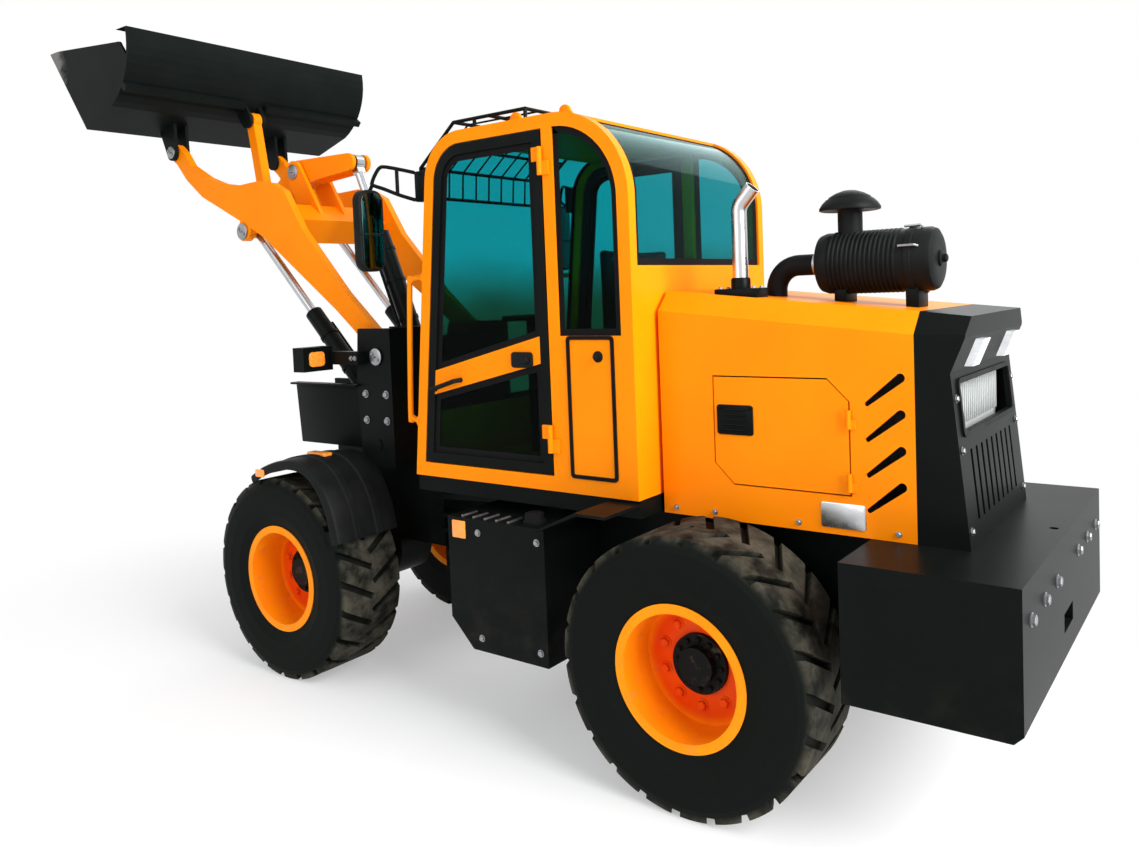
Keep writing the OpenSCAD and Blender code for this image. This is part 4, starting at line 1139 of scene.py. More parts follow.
@dataclass
class GlassBorder:
    """The dark printed band along the edges of a window pane, raised a hair from its outer face."""

    width: float = 0.03
    lift: float = 0.0012
    weld: float = 0.0002
    flat: float = 0.02
    cab_middle: Point = (-0.29, 0.0, 2.0)
    facing: float = 0.3
    strip_share: float = 0.004

    def build(self, node: str, body: str, frame: Frame, shelf: Shelf) -> None:
        """Makes the bands of one glass node.

        Args:
            node: The glass node.
            body: The body it belongs to.
            frame: The loaded frame.
            shelf: Where the finishes are.
        """
        form = Form()
        form.mesh.from_mesh(frame["nodes"][node].data)
        for vert in form.mesh.verts:
            vert.co.x -= PIVOT_X
        bmesh.ops.remove_doubles(form.mesh, verts=form.mesh.verts, dist=self.weld)
        verts, edges = form.mesh.verts, form.mesh.edges
        bmesh.ops.dissolve_limit(form.mesh, angle_limit=self.flat, verts=verts, edges=edges)
        outside = {face for face in form.mesh.faces if self._faces_out(face)}
        others = [face for face in form.mesh.faces if face not in outside]
        bmesh.ops.delete(form.mesh, geom=others, context="FACES")
        made = bmesh.ops.inset_region(
            form.mesh, faces=form.mesh.faces[:], thickness=self.width, use_boundary=True, use_even_offset=True
        )
        band = set(made["faces"])
        inner = [face for face in form.mesh.faces if face not in band]
        bmesh.ops.delete(form.mesh, geom=inner, context="FACES")
        for vert in form.mesh.verts:
            vert.co += vert.normal * self.lift
        form.make(f"{node}_border", body, "window_seal", shelf)

    def _faces_out(self, face: bmesh.types.BMFace) -> bool:
        """Whether a face is a pane's outer face and not an edge strip.

        Args:
            face: The face.

        Returns:
            True for an outer face.
        """
        away = (face.calc_center_median() - Vector(self.cab_middle)).normalized()
        broad = face.calc_area() > self.strip_share * face.calc_perimeter()
        return broad and face.normal.dot(away) > self.facing


@dataclass
class Doors:
    """Pull handle and paddle latch of each cab door."""

    handle: tuple[Pair, Pair] = ((0.2, 1.562), (0.03, 1.611))
    handle_out: float = 0.04
    handle_r: float = 0.011
    foot: Pair = (0.008, 0.002)
    latch: Pair = (-0.352, 1.71)
    latch_half: Pair = (0.06, 0.035)
    latch_t: float = 0.012
    latch_corner: float = 0.015
    knob: Line = ((0.018, 0.0), (0.018, 0.012), (0.012, 0.018))
    knob_back: float = 0.03

    def build(self, shelf: Shelf) -> None:
        """Makes both doors' fittings.

        Args:
            shelf: Where the finishes are.
        """
        for side in Side:
            body = side_name("door", side)
            self._handle(side).make(f"{body}_handle", body, "black_plastic", shelf)
            self._latch(side).make(f"{body}_latch", body, "black_plastic", shelf)

    def _handle(self, side: Side) -> Form:
        """Pull bar on two feet along the slanted door bar.

        Args:
            side: The machine's side.

        Returns:
            The form.
        """
        (x0, z0), (x1, z1) = self.handle
        dx, dz = self.foot
        skin = side.value * CAB_Y
        out = side.value * (CAB_Y + self.handle_out)
        path = [(x0, skin, z0), (x0 - dx, out, z0 + dz), (x1 + dx, out, z1 - dz), (x1, skin, z1)]
        return Form().bar(path, self.handle_r)

    def _latch(self, side: Side) -> Form:
        """Paddle latch in its plate.

        Args:
            side: The machine's side.

        Returns:
            The form.
        """
        x, z = self.latch
        face = side.value * (CAB_Y + self.latch_t)
        low, high = sorted((side.value * CAB_Y, face))
        outline = rounded(*about(self.latch, self.latch_half), self.latch_corner)
        form = Form().plate(Plane.SIDE, outline, low, high, EDGE)
        return form.turned(self.knob, (x - self.knob_back, face, z), (0, side.value, 0), 20)


@dataclass
class HoodTrim:
    """Vent plate on each hood door, service plate and seam screws of the hood sides."""

    vent_low: Pair = (-1.382, 1.409)
    vent_high: Pair = (-1.224, 1.529)
    vent_t: float = 0.006
    vent_corner: float = 0.012
    slats: int = 5
    slat_in: float = 0.03
    slat_r: float = 0.005
    bolt_in: float = 0.013
    bolt_r: float = 0.006
    plate_low: Pair = (-1.823, 1.085)
    plate_high: Pair = (-1.651, 1.18)
    plate_t: float = 0.005
    plate_corner: float = 0.01
    screw_x: tuple[float, ...] = (-1.02, -1.2, -1.56, -1.94)
    screw_z: float = 1.088
    screw_r: float = 0.009

    def build(self, shelf: Shelf) -> None:
        """Makes the trim of both sides.

        Args:
            shelf: Where the finishes are.
        """
        for side in Side:
            body = side_name("hood_door", side)
            self._vent(side).make(f"{body}_vent", body, "black_paint", shelf)
        outline = rounded(self.plate_low, self.plate_high, self.plate_corner)
        plates = Form().plate(Plane.SIDE, outline, HOOD_Y, HOOD_Y + self.plate_t, FINE_EDGE)
        plates.mirrored().make("hood_service_plates", "rear", "bright_pipe", shelf)
        screws = Form().bolts([(x, HOOD_Y, self.screw_z) for x in self.screw_x], (0, 1, 0), self.screw_r)
        screws.mirrored().make("hood_screws", "rear", "plain_bolt", shelf)

    def _vent(self, side: Side) -> Form:
        """Bolted plate with pressed slats.

        Args:
            side: The machine's side.

        Returns:
            The form.
        """
        face = side.value * HOOD_Y
        y = face + side.value * self.vent_t
        low, high = sorted((face, y))
        outline = rounded(self.vent_low, self.vent_high, self.vent_corner)
        form = Form().plate(Plane.SIDE, outline, low, high, 0.002)
        (x0, z0), (x1, z1) = self.vent_low, self.vent_high
        for i in range(self.slats):
            z = z0 + (z1 - z0) * (i + 1) / (self.slats + 1)
            form.bar([(x0 + self.slat_in, y, z), (x1 - self.slat_in, y, z)], self.slat_r, 8)
        (x0, z0), (x1, z1) = grown(self.vent_low, self.vent_high, -self.bolt_in)
        places = [(x, y, z) for x in (x0, x1) for z in (z0, z1)]
        return form.bolts(places, (0, side.value, 0), self.bolt_r)


@dataclass
class Grille:
    """Core fins behind the grille window, and a lip and bolts on the housing's slanted rear face."""

    face_low: Pair = (-2.185, 1.06)
    face_high: Pair = (-2.126, 1.67)
    core_x: float = -2.08
    window_y: float = 0.37
    window_z: Pair = (1.457, 1.629)
    lip: float = 0.018
    lip_x: Pair = (-0.008, 0.001)
    lip_corners: Pair = (0.03, 0.012)
    fins: int = 26
    fin_half: float = 0.004
    fin_x: Pair = (-0.014, 0.001)
    bolt_y: float = 0.415
    bolt_z: Point = (1.12, 1.4, 1.58)
    bolt_r: float = 0.011

    def build(self, shelf: Shelf) -> None:
        """Makes the grille's fittings.

        Args:
            shelf: Where the finishes are.
        """
        self._fins().make("radiator_fins", "rear", "radiator_core", shelf)
        self._surround().make("grille_surround", "rear", "black_plastic", shelf)
        (x0, z0), (x1, z1) = self.face_low, self.face_high
        places = [(self._face_x(z), y, z) for y in (-self.bolt_y, self.bolt_y) for z in self.bolt_z]
        bolts = Form().bolts(places, (z0 - z1, 0, x1 - x0), self.bolt_r)
        bolts.make("grille_bolts", "rear", "plain_bolt", shelf)

    def _fins(self) -> Form:
        """Upright fins of the core, seen through the window.

        Returns:
            The form.
        """
        form = Form()
        z0, z1 = self.window_z
        rear, front = (self.core_x + x for x in self.fin_x)
        for i in range(self.fins):
            y = -self.window_y + 2 * self.window_y * (i + 0.5) / self.fins
            y0, y1 = y - self.fin_half, y + self.fin_half
            outline = [(y0, z0), (y1, z0), (y1, z1), (y0, z1)]
            form.plate(Plane.REAR, outline, rear, front, 0.001)
        return form

    def _surround(self) -> Form:
        """Moulded lip round the window.

        Returns:
            The form.
        """
        low = (-self.window_y, self.window_z[0])
        high = (self.window_y, self.window_z[1])
        outer = rounded(*grown(low, high, self.lip), self.lip_corners[0])
        form = Form().ring(Plane.REAR, outer, rounded(low, high, self.lip_corners[1]), *self.lip_x)
        for vert in form.mesh.verts:
            vert.co.x += self._face_x(vert.co.z)
        return form

    def _face_x(self, z: float) -> float:
        """Where the slanted face stands at a height."""
        (x0, z0), (x1, z1) = self.face_low, self.face_high
        return x0 + (x1 - x0) * (z - z0) / (z1 - z0)


@dataclass
class AirCleaner:
    """Ribbed can on two feet, domed pre-cleaner and intake hose that stand for the plain CAD solid."""

    rear: Point = (-2.0092, 0.115, 2.075)
    length: float = 0.466
    radius: float = 0.122
    rib: Pair = (0.119, 0.1245)
    rib_span: Pair = (0.135, 0.405)
    ribs: int = 15
    knob: Line = ((0.03, -0.002), (0.03, 0.006), (0.016, 0.012), (0.016, 0.024), (0.01, 0.028))
    cap_x: float = -1.6654
    cap_z: float = 2.363
    cap: Line = (
        (0.048, 0.19), (0.048, 0.085), (0.058, 0.074), (0.111, 0.082), (0.119, 0.079), (0.119, 0.07),
        (0.108, 0.052), (0.092, 0.036), (0.086, 0.035), (0.08, 0.026), (0.055, 0.012), (0.026, 0.002),
        (0.008, 0.0),
    )
    hose_x: float = -1.3446
    hose_low: float = 1.948
    hose_r: float = 0.043
    bend: float = 0.1
    feet_x: Pair = (-1.9454, -1.6654)
    foot: Pair = (0.05, 0.061)
    hood_rear: Pair = (-2.005, 1.8853)
    hood_slope: float = 0.10048
    clip: Line = ((0.05, 0.0), (0.06, 0.012), (0.12, 0.01))
    clip_turns: tuple[float, ...] = (0.4, 1.3, 2.74, 4.4)
    clip_r: float = 0.005

    def build(self, shelf: Shelf) -> None:
        """Makes the cleaner and hides the CAD solid.

        Args:
            shelf: Where the finishes are.
        """
        pieces = (
            self._can().make("air_cleaner_can", "rear", "black_plastic", shelf),
            self._cap().make("precleaner", "rear", "black_plastic", shelf),
            self._hose().make("intake_hose", "rear", "hose_rubber", shelf),
            self._feet().make("air_cleaner_feet", "rear", "black_paint", shelf),
        )
        for piece in pieces:
            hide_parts("air_cleaner")
        self._clips().make("air_cleaner_clips", "rear", "plain_bolt", shelf)

    def _can(self) -> Form:
        """Round-shouldered can with a stepped cover and fine ribs.

        Returns:
            The form.
        """
        r, end = self.radius, self.length
        profile = [(0.06, 0.0), (0.1, 0.002), (0.115, 0.01), (r, 0.026), (r, 0.076), (r + 0.006, 0.079)]
        profile += [(r + 0.006, 0.1), (r, 0.103)]
        pitch = (self.rib_span[1] - self.rib_span[0]) / self.ribs
        for i in range(self.ribs):
            start = self.rib_span[0] + pitch * i
            profile += [(self.rib[0], start), (self.rib[1], start + 0.25 * pitch)]
            profile += [(self.rib[1], start + 0.55 * pitch), (self.rib[0], start + 0.8 * pitch)]
        profile += [(r, end - 0.055), (r, end - 0.035), (0.114, end - 0.012)]
        profile += [(0.09, end - 0.001), (0.06, end)]
        return Form().turned(profile, self.rear, (1, 0, 0), 56).turned(self.knob, self.rear, (-1, 0, 0), 20)

    def _cap(self) -> Form:
        """Neck and mushroom dome with a pressed ring."""
        profile = [(radius, self.cap_z - drop) for radius, drop in self.cap]
        return Form().turned(profile, (self.cap_x, self.rear[1], 0.0), (0, 0, 1), 48)

    def _hose(self) -> Form:
        """Rubber elbow from the can's front down into the hood.

        Returns:
            The form.
        """
        x0, y, z = self.rear
        path = [(x0 + self.length - 0.01, y, z), (self.hose_x - self.bend - 0.02, y, z)]
        for step in range(11):
            angle = math.pi / 2 * (1 - step / 10)
            dx, dz = self.bend * math.cos(angle), self.bend * math.sin(angle)
            path.append((self.hose_x - self.bend + dx, y, z - self.bend + dz))
        path.append((self.hose_x, y, self.hose_low))
        return Form().bar(path, self.hose_r, 24)

    def _feet(self) -> Form:
        """Two saddles between the hood and the can.

        Returns:
            The form.
        """
        form = Form()
        width, half = self.foot
        y, z = self.rear[1], self.rear[2] - 0.09
        for x in self.feet_x:
            low = [(x, self._hood_z(x)), (x + width, self._hood_z(x + width))]
            form.plate(Plane.SIDE, low + [(x + width, z), (x, z)], y - half, y + half, 0.004)
        return form

    def _hood_z(self, x: float) -> float:
        """Height of the hood's sloping top."""
        return self.hood_rear[1] + (x - self.hood_rear[0]) * self.hood_slope

    def _clips(self) -> Form:
        """Wire clips of the can's cover and the hose clamp.

        Returns:
            The form.
        """
        form = Form()
        x, y, z = self.rear
        for turn in self.clip_turns:
            out = Vector((0.0, math.cos(turn), math.sin(turn)))
            path = [Vector((x + dx, y, z)) + out * (self.radius + dr) for dx, dr in self.clip]
            form.bar([tuple(p) for p in path], self.clip_r, 8)
        r = self.hose_r
        band = ((r - 0.001, 0.0), (r + 0.004, 0.001), (r + 0.004, 0.017), (r - 0.001, 0.018))
        return form.turned(band, (x + self.length + 0.008, y, z), (1, 0, 0), 28, hollow=True)


@dataclass
class Exhaust:
    """Bright stack with a bent tail on a black base, which stand for the plain CAD solid."""

    at: Pair = (-1.26514, 0.29)
    base_half: Pair = (0.095, 0.055)
    base_low: Pair = (1.9499, 1.969)
    base_top: float = 1.9890
    bolt_half: Pair = (0.075, 0.036)
    bolt_r: float = 0.009
    radius: float = 0.032
    wall: float = 0.004
    bend_z: float = 2.3
    bend: float = 0.06
    lean: float = 42.0
    tail: float = 0.075

    def build(self, shelf: Shelf) -> None:
        """Makes the stack and hides the CAD solid.

        Args:
            shelf: Where the finishes are.
        """
        pipe = self._pipe().make("exhaust_pipe", "rear", "bright_pipe", shelf)
        base = self._base().make("exhaust_base", "rear", "black_paint", shelf)
        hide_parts("exhaust")
        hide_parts("exhaust")
        # A black plug closes the bore a little inside the mouth: real soot, and painted shade for the pipe's
        # dark depth.
        r = self.radius - self.wall - 0.0005
        soot_and_bore_shade = ((r, 0.011), (r, self.tail - 0.006), (0.6 * r, self.tail - 0.012))
        Form().turned(soot_and_bore_shade, *self._tail(), 32).make("exhaust_bore", "rear", "hose_rubber", shelf)
        (x0, y0), (x1, y1) = about(self.at, self.bolt_half)
        places = [(x, y, self.base_top) for x in (x0, x1) for y in (y0, y1)]
        bolts = Form().bolts(places, (0, 0, 1), self.bolt_r)
        bolts.make("exhaust_bolts", "rear", "plain_bolt", shelf)

    def _bent(self, angle: float) -> Point:
        """A point of the bend's centre line."""
        x, y = self.at
        return (x - self.bend * (1 - math.cos(angle)), y, self.bend_z + self.bend * math.sin(angle))

    def _tail(self) -> tuple[Point, Point]:
        """Where the tail starts, and its direction."""
        lean = math.radians(self.lean)
        return self._bent(lean), (-math.sin(lean), 0.0, math.cos(lean))

    def _pipe(self) -> Form:
        """Riser, bend and open tail.

        Returns:
            The form.
        """
        path = [(*self.at, self.base_top - 0.01)]
        path += [self._bent(math.radians(self.lean) * step / 8) for step in range(9)]
        r, inner = self.radius, self.radius - self.wall
        profile = ((r, 0.0), (r, self.tail), (inner, self.tail), (inner, 0.01))
        return Form().bar(path, r, 32).turned(profile, *self._tail(), 32)

    def _base(self) -> Form:
        """Base plate on the hood's slope, with a sleeve round the pipe.

        Returns:
            The form.
        """
        x, y = self.at
        dx, dy = self.base_half
        low, high = self.base_low
        top = self.base_top
        outline = [(x - dx, low), (x + dx, high), (x + dx, top), (x - dx, top)]
        r = self.radius
        sleeve = ((r, 0.0), (r + 0.008, 0.001), (r + 0.008, 0.04), (r + 0.004, 0.046), (r, 0.046))
        form = Form().plate(Plane.SIDE, outline, y - dy, y + dy, EDGE)
        return form.turned(sleeve, (x, y, top - 0.002), (0, 0, 1), 32, hollow=True)


@dataclass
class FrameBolts:
    """Bolts of the counterweight's rear face, the tower cheeks and the lamp arms."""

    weight_x: float = -2.41
    weight_z: float = 0.93
    weight_y: Point = (0.22, 0.44, 0.66)
    weight_r: float = 0.018
    cheek_y: float = 0.47
    cheek_xz: Line = ((0.72, 1.36), (0.88, 1.36), (0.72, 1.5), (0.88, 1.5))
    cheek_r: float = 0.016
    lamp_arm_xz: Line = ((0.885, 1.695), (0.915, 1.695))
    lamp_arm_y: float = 0.53
    lamp_arm_r: float = 0.01

    def build(self, shelf: Shelf) -> None:
        """Makes the bolts.

        Args:
            shelf: Where the finishes are.
        """
        weight = [(self.weight_x, y, self.weight_z) for y in self.weight_y]
        bolts = Form().bolts(weight, (-1, 0, 0), self.weight_r)
        bolts.mirrored().make("counterweight_bolts", "rear", "plain_bolt", shelf)
        cheek = [(x, self.cheek_y, z) for x, z in self.cheek_xz]
        lamp_arm = [(x, self.lamp_arm_y, z) for x, z in self.lamp_arm_xz]
        bolts = Form().bolts(cheek, (0, 1, 0), self.cheek_r).bolts(lamp_arm, (0, 1, 0), self.lamp_arm_r)
        bolts.mirrored().make("tower_bolts", "front", "plain_bolt", shelf)


@dataclass
class Flanks:
    """Filler cap, grip bars and bolts of the tanks, with a plain reflector on each side."""

    tank_y: float = 0.75
    reflector_low: Pair = (-0.085, 0.905)
    reflector_high: Pair = (-0.005, 0.985)
    reflector_t: float = 0.005
    reflector_corner: float = 0.006
    filler: Point = (-0.42, 0.66, 1.0)
    filler_profile: Line = ((0.05, 0.0), (0.05, 0.012), (0.042, 0.016), (0.042, 0.04), (0.03, 0.046))
    filler_room: float = 0.07
    step_x: Pair = (-0.5, -0.02)
    treads: int = 7
    tread_y: Pair = (0.64, 0.735)
    tread_z: float = 1.002
    tread_r: float = 0.007
    bolt_xz: Line = ((-0.5, 0.46), (-0.5, 0.94), (-0.16, 0.46), (-0.16, 0.94))
    bolt_r: float = 0.012

    def build(self, shelf: Shelf) -> None:
        """Makes the fittings of both flanks.

        Args:
            shelf: Where the finishes are.
        """
        # The reflectors take the orange lens finish, whose faint glow is painted light: a reflector has no
        # lamp.
        outline = rounded(self.reflector_low, self.reflector_high, self.reflector_corner)
        tiles = Form().plate(Plane.SIDE, outline, self.tank_y, self.tank_y + self.reflector_t, FINE_EDGE)
        tiles.mirrored().make("side_reflectors", "rear", "orange_lens", shelf)
        caps = Form().turned(self.filler_profile, self.filler, (0, 0, 1), 28)
        caps.mirrored().make("tank_filler_caps", "rear", "black_plastic", shelf)
        self._treads().mirrored().make("step_treads", "rear", "plain_bolt", shelf)
        bolts = Form().bolts([(x, self.tank_y, z) for x, z in self.bolt_xz], (0, 1, 0), self.bolt_r)
        bolts.mirrored().make("tank_bolts", "rear", "plain_bolt", shelf)

    def _treads(self) -> Form:
        """Grip bars across a tank's top edge, where the foot goes.

        Returns:
            The form.
        """
        form = Form()
        start, end = self.step_x
        for i in range(self.treads):
            x = start + (end - start) * (i + 0.5) / self.treads
            if abs(x - self.filler[0]) > self.filler_room:
                form.bar([(x, y, self.tread_z) for y in self.tread_y], self.tread_r, 8)
        return form


@dataclass
class FrontFenders:
    """Moulded fender arches with pressed ribs, which stand for the plain bent CAD plates."""

    line: Line = (
        (1.395, 1.085), (1.3, 1.135), (1.16, 1.178), (1.02, 1.193), (0.9, 1.165), (0.8, 1.085),
        (0.728, 0.965), (0.692, 0.84), (0.683, 0.8),
    )
    inner_y: float = 0.47
    outer_y: float = 0.86
    skin: float = 0.012
    lip: float = 0.05
    ribs: Pair = (0.565, 0.7)
    rib_w: float = 0.05
    rib_h: float = 0.008

    def build(self, shelf: Shelf) -> None:
        """Makes both fenders and hides the CAD plates.

        Args:
            shelf: Where the finishes are.
        """
        line = [(x, z) for x, _, z in eased([(x, 0.0, z) for x, z in self.line])]
        arches = Form().swept(line, self._section()).mirrored()
        fenders = arches.make("fender_arches", "front", "black_plastic", shelf)
        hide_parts("front_fenders")

    def _section(self) -> list[Pair]:
        """The fender's section: ribbed skin with a turned-down outer lip.

        Returns:
            Place across the machine and height above the outer face, in order.
        """
        section = [(self.inner_y, 0.0)]
        for y in self.ribs:
            end = y + self.rib_w
            section += [(y, 0.0), (y + 0.008, self.rib_h), (end - 0.008, self.rib_h), (end, 0.0)]
        out, lip = self.outer_y, self.lip
        section += [(out - 0.022, 0.0), (out - 0.006, -0.006), (out, -0.02), (out, -lip), (out - 0.01, -lip)]
        return section + [(out - 0.012, -0.024), (out - 0.026, -self.skin), (self.inner_y, -self.skin)]


@dataclass
class NosePlates:
    """Flanged side plates between the tower cheeks and the nose, above the fenders."""

    low: Pair = (0.93, 1.205)
    high: Pair = (1.49, 1.55)
    lean: float = 0.03
    y: Pair = (0.446, 0.466)
    flange: float = 0.04
    flange_t: float = 0.012

    def build(self, shelf: Shelf) -> None:
        """Makes both plates.

        Args:
            shelf: Where the finishes are.
        """
        (x0, z0), (x1, z1) = self.low, self.high
        outline = [(x0, z0), (x1 - self.lean, z0), (x1, z1), (x0, z1)]
        form = Form().plate(Plane.SIDE, outline, *self.y, EDGE)
        y0, y1 = self.y[0], self.y[1] + self.flange
        form.plate(Plane.TOP, [(x0, y0), (x1, y0), (x1, y1), (x0, y1)], z1 - self.flange_t, z1, EDGE)
        form.mirrored().make("nose_side_plates", "front", "black_paint", shelf)


@dataclass
class GrabRails:
    """Bent tube rails on round flanges ahead of the front pillars, which stand for the plain CAD rails."""

    y: float = 0.585
    top: Pair = (0.26, 2.1)
    bottom: Pair = (0.334, 1.4)
    reach: Pair = (0.12, 0.08)
    bend: float = 0.045
    radius: float = 0.0135
    flange: Line = ((0.034, 0.0), (0.034, 0.008), (0.02, 0.012))

    def build(self, shelf: Shelf) -> None:
        """Makes both rails and hides the CAD rails."""
        rails = self._rail().mirrored().make("grab_rail_tubes", "rear", "amber_paint", shelf)
        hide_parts("grab_rails")

    def _rail(self) -> Form:
        """One rail with its two flanges.

        Returns:
            The form.
        """
        (x0, z0), (x1, z1) = self.top, self.bottom
        high, low = x0 + self.reach[0], x1 + self.reach[1]
        cut = 0.3 * self.bend
        corners = [
            (x0, z0), (high - self.bend, z0), (high - cut, z0 - cut), (high, z0 - self.bend),
            (low, z1 + self.bend), (low - cut, z1 + cut), (low - self.bend, z1), (x1, z1),
        ]
        form = Form().bar(eased([(x, self.y, z) for x, z in corners]), self.radius, 14)
        for x, z in (self.top, self.bottom):
            form.turned(self.flange, (x, self.y, z), (1, 0, 0), 20)
        return form


@dataclass
class FrontLamps:
    """Lenses of the head lamps, turn lamps and fender lamps."""

    lamp_x: Pair = (1.1, 1.19)
    lens_low: Pair = (0.5575, 1.645)
    lens_high: Pair = (0.6675, 1.745)
    lens_t: float = 0.012
    lens_corner: float = 0.02
    lens_edge: float = 0.004
    turn_low: Pair = (0.5625, 1.655)
    turn_high: Pair = (0.6625, 1.735)
    turn_t: float = 0.01
    fender_low: Pair = (0.98, 0.63)
    fender_high: Pair = (1.13, 0.69)
    fender_z: Pair = (1.165, 1.203)
    fender_corner: float = 0.012
    fender_edge: float = 0.006
    marker: Pair = (1.3, 1.105)
    marker_half: Pair = (0.035, 0.02)
    marker_corner: float = 0.01
    marker_y: Pair = (0.856, 0.868)

    def build(self, shelf: Shelf) -> None:
        """Makes the lamp pieces.

        Args:
            shelf: Where the finishes are.
        """
        rear, front = self.lamp_x
        outline = rounded(self.lens_low, self.lens_high, self.lens_corner)
        lenses = Form().plate(Plane.REAR, outline, front, front + self.lens_t, self.lens_edge)
        lenses.mirrored().make("head_lamp_lenses", "front", "clear_lens", shelf)
        outline = rounded(self.turn_low, self.turn_high, self.lens_corner)
        turns = Form().plate(Plane.REAR, outline, rear - self.turn_t, rear, self.lens_edge)
        turns.mirrored().make("turn_lamps", "front", "orange_lens", shelf)
        outline = rounded(self.fender_low, self.fender_high, self.fender_corner)
        tops = Form().plate(Plane.TOP, outline, *self.fender_z, self.fender_edge)
        outline = rounded(*about(self.marker, self.marker_half), self.marker_corner)
        tops.plate(Plane.SIDE, outline, *self.marker_y, EDGE)
        tops.mirrored().make("fender_lamps", "front", "orange_lens", shelf)


@dataclass
class Mirrors:
    """Outside mirrors that hang on bent tube loops, which stand for the plain CAD mirrors."""

    face_x: float = 0.441
    depth: float = 0.05
    middle: Pair = (0.75, 2.332)
    shell: Pair = (0.075, 0.195)
    shell_r: float = 0.055
    rim: float = 0.013
    split: Pair = (0.75, 2.314)
    split_half: Pair = (0.071, 0.005)
    split_corner: float = 0.002
    split_x: Pair = (-0.007, 0.002)
    pane_t: float = 0.004
    box_low: Pair = (0.205, 2.462)
    box_high: Pair = (0.282, 2.607)
    box_y: Pair = (0.572, 0.613)
    box_corner: float = 0.008
    near: Pair = (0.222, 0.6)
    far: Pair = (0.465, 0.75)
    loop: Line = (
        (0.18, 2.6), (0.45, 2.62), (0.68, 2.634), (0.77, 2.63), (0.85, 2.6), (0.91, 2.562), (0.89, 2.549),
        (0.7, 2.528), (0.45, 2.497), (0.18, 2.47),
    )
    divider: Line = ((0.48, 2.62), (0.48, 2.503))
    hanger: Line = ((0.9, 2.556), (1.0, 2.5))
    tube_r: float = 0.009

    def build(self, shelf: Shelf) -> None:
        """Makes the mirrors and hides the CAD mirrors.

        Args:
            shelf: Where the finishes are.
        """
        x = self.face_x
        form = Form().plate(Plane.REAR, self._outline(0.0), x, x + self.depth, 0.006)
        split = rounded(*about(self.split, self.split_half), self.split_corner)
        form.plate(Plane.REAR, split, x + self.split_x[0], x + self.split_x[1], 0.001)
        shells = form.mirrored().make("mirror_housings", "rear", "black_plastic", shelf)
        brackets = self._brackets().mirrored().make("mirror_brackets", "rear", "black_paint", shelf)
        for piece in (shells, brackets):
            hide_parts("mirrors")
        # The mirror faces are coloured dark green: a painted reflection.
        face = Form().plate(Plane.REAR, self._outline(self.rim), x - self.pane_t, x, 0.001)
        face.mirrored().make("mirror_faces", "rear", "mirror_face", shelf)

    def _outline(self, inset: float) -> list[Pair]:
        """The mirror's outline, drawn in by a distance."""
        half = (self.shell[0] - inset, self.shell[1] - inset)
        return rounded(*about(self.middle, half), self.shell_r - 0.7 * inset, 8)

    def _brackets(self) -> Form:
        """Pivot box on the pillar, tube loop with its divider, and the hanger.

        Returns:
            The form.
        """
        outline = rounded(self.box_low, self.box_high, self.box_corner)
        form = Form().plate(Plane.SIDE, outline, *self.box_y, EDGE)
        form.bar(eased([self._at(s, z) for s, z in self.loop]), self.tube_r, 12)
        for ends in (self.divider, self.hanger):
            form.bar([self._at(s, z) for s, z in ends], self.tube_r, 12)
        return form

    def _at(self, share: float, z: float) -> Point:
        """A point over the line from the pillar, at share 0, to the mirror, at share 1."""
        (x0, y0), (x1, y1) = self.near, self.far
        return (x0 + (x1 - x0) * share, y0 + (y1 - y0) * share, z)


@dataclass(frozen=True)
class Pin:
    """A pin with caps: their name and body, the pin's X and Z, and the caps' radius and face."""

    name: str
    body: str
    at: Pair
    radius: float
    face_y: float


@dataclass
class Arms:
    """Pin caps and grease nipples of the loader arms, rocker and cylinders."""

    pins: tuple[Pin, ...] = (
        Pin("lift_pin_caps", "boom", (2.0168, 2.4494), 0.05, 0.4085),
        Pin("rocker_pin_caps", "boom", (1.9012, 2.8205), 0.048, 0.105),
        Pin("bucket_pin_caps", "bucket", (2.7208, 3.0091), 0.04, 0.4295),
        Pin("arm_pin_caps", "front", (0.78, 1.7), 0.045, 0.476),
    )
    cap_t: float = 0.008
    bolt_turns: Pair = (0.6, 0.6 + math.pi)
    bolt_r: float = 0.008
    nipple: Line = ((0.006, 0.0), (0.005, 0.014), (0.003, 0.018))

    def build(self, shelf: Shelf) -> None:
        """Makes the pin caps."""
        for pin in self.pins:
            self._cap(pin).mirrored().make(pin.name, pin.body, "plain_bolt", shelf)

    def _cap(self, pin: Pin) -> Form:
        """Keeper plate, bolts and nipple over a pin's left end.

        Args:
            pin: The pin.

        Returns:
            The form.
        """
        x, z = pin.at
        r, y = pin.radius, pin.face_y + self.cap_t
        keeper = ((r, 0.0), (r, self.cap_t - 0.002), (r - 0.004, self.cap_t))
        spots = [(x + 0.6 * r * math.cos(turn), y, z + 0.6 * r * math.sin(turn)) for turn in self.bolt_turns]
        form = Form().turned(keeper, (x, pin.face_y, z), (0, 1, 0)).bolts(spots, (0, 1, 0), self.bolt_r)
        return form.turned(self.nipple, (x, y, z), (0, 1, 0), 8)


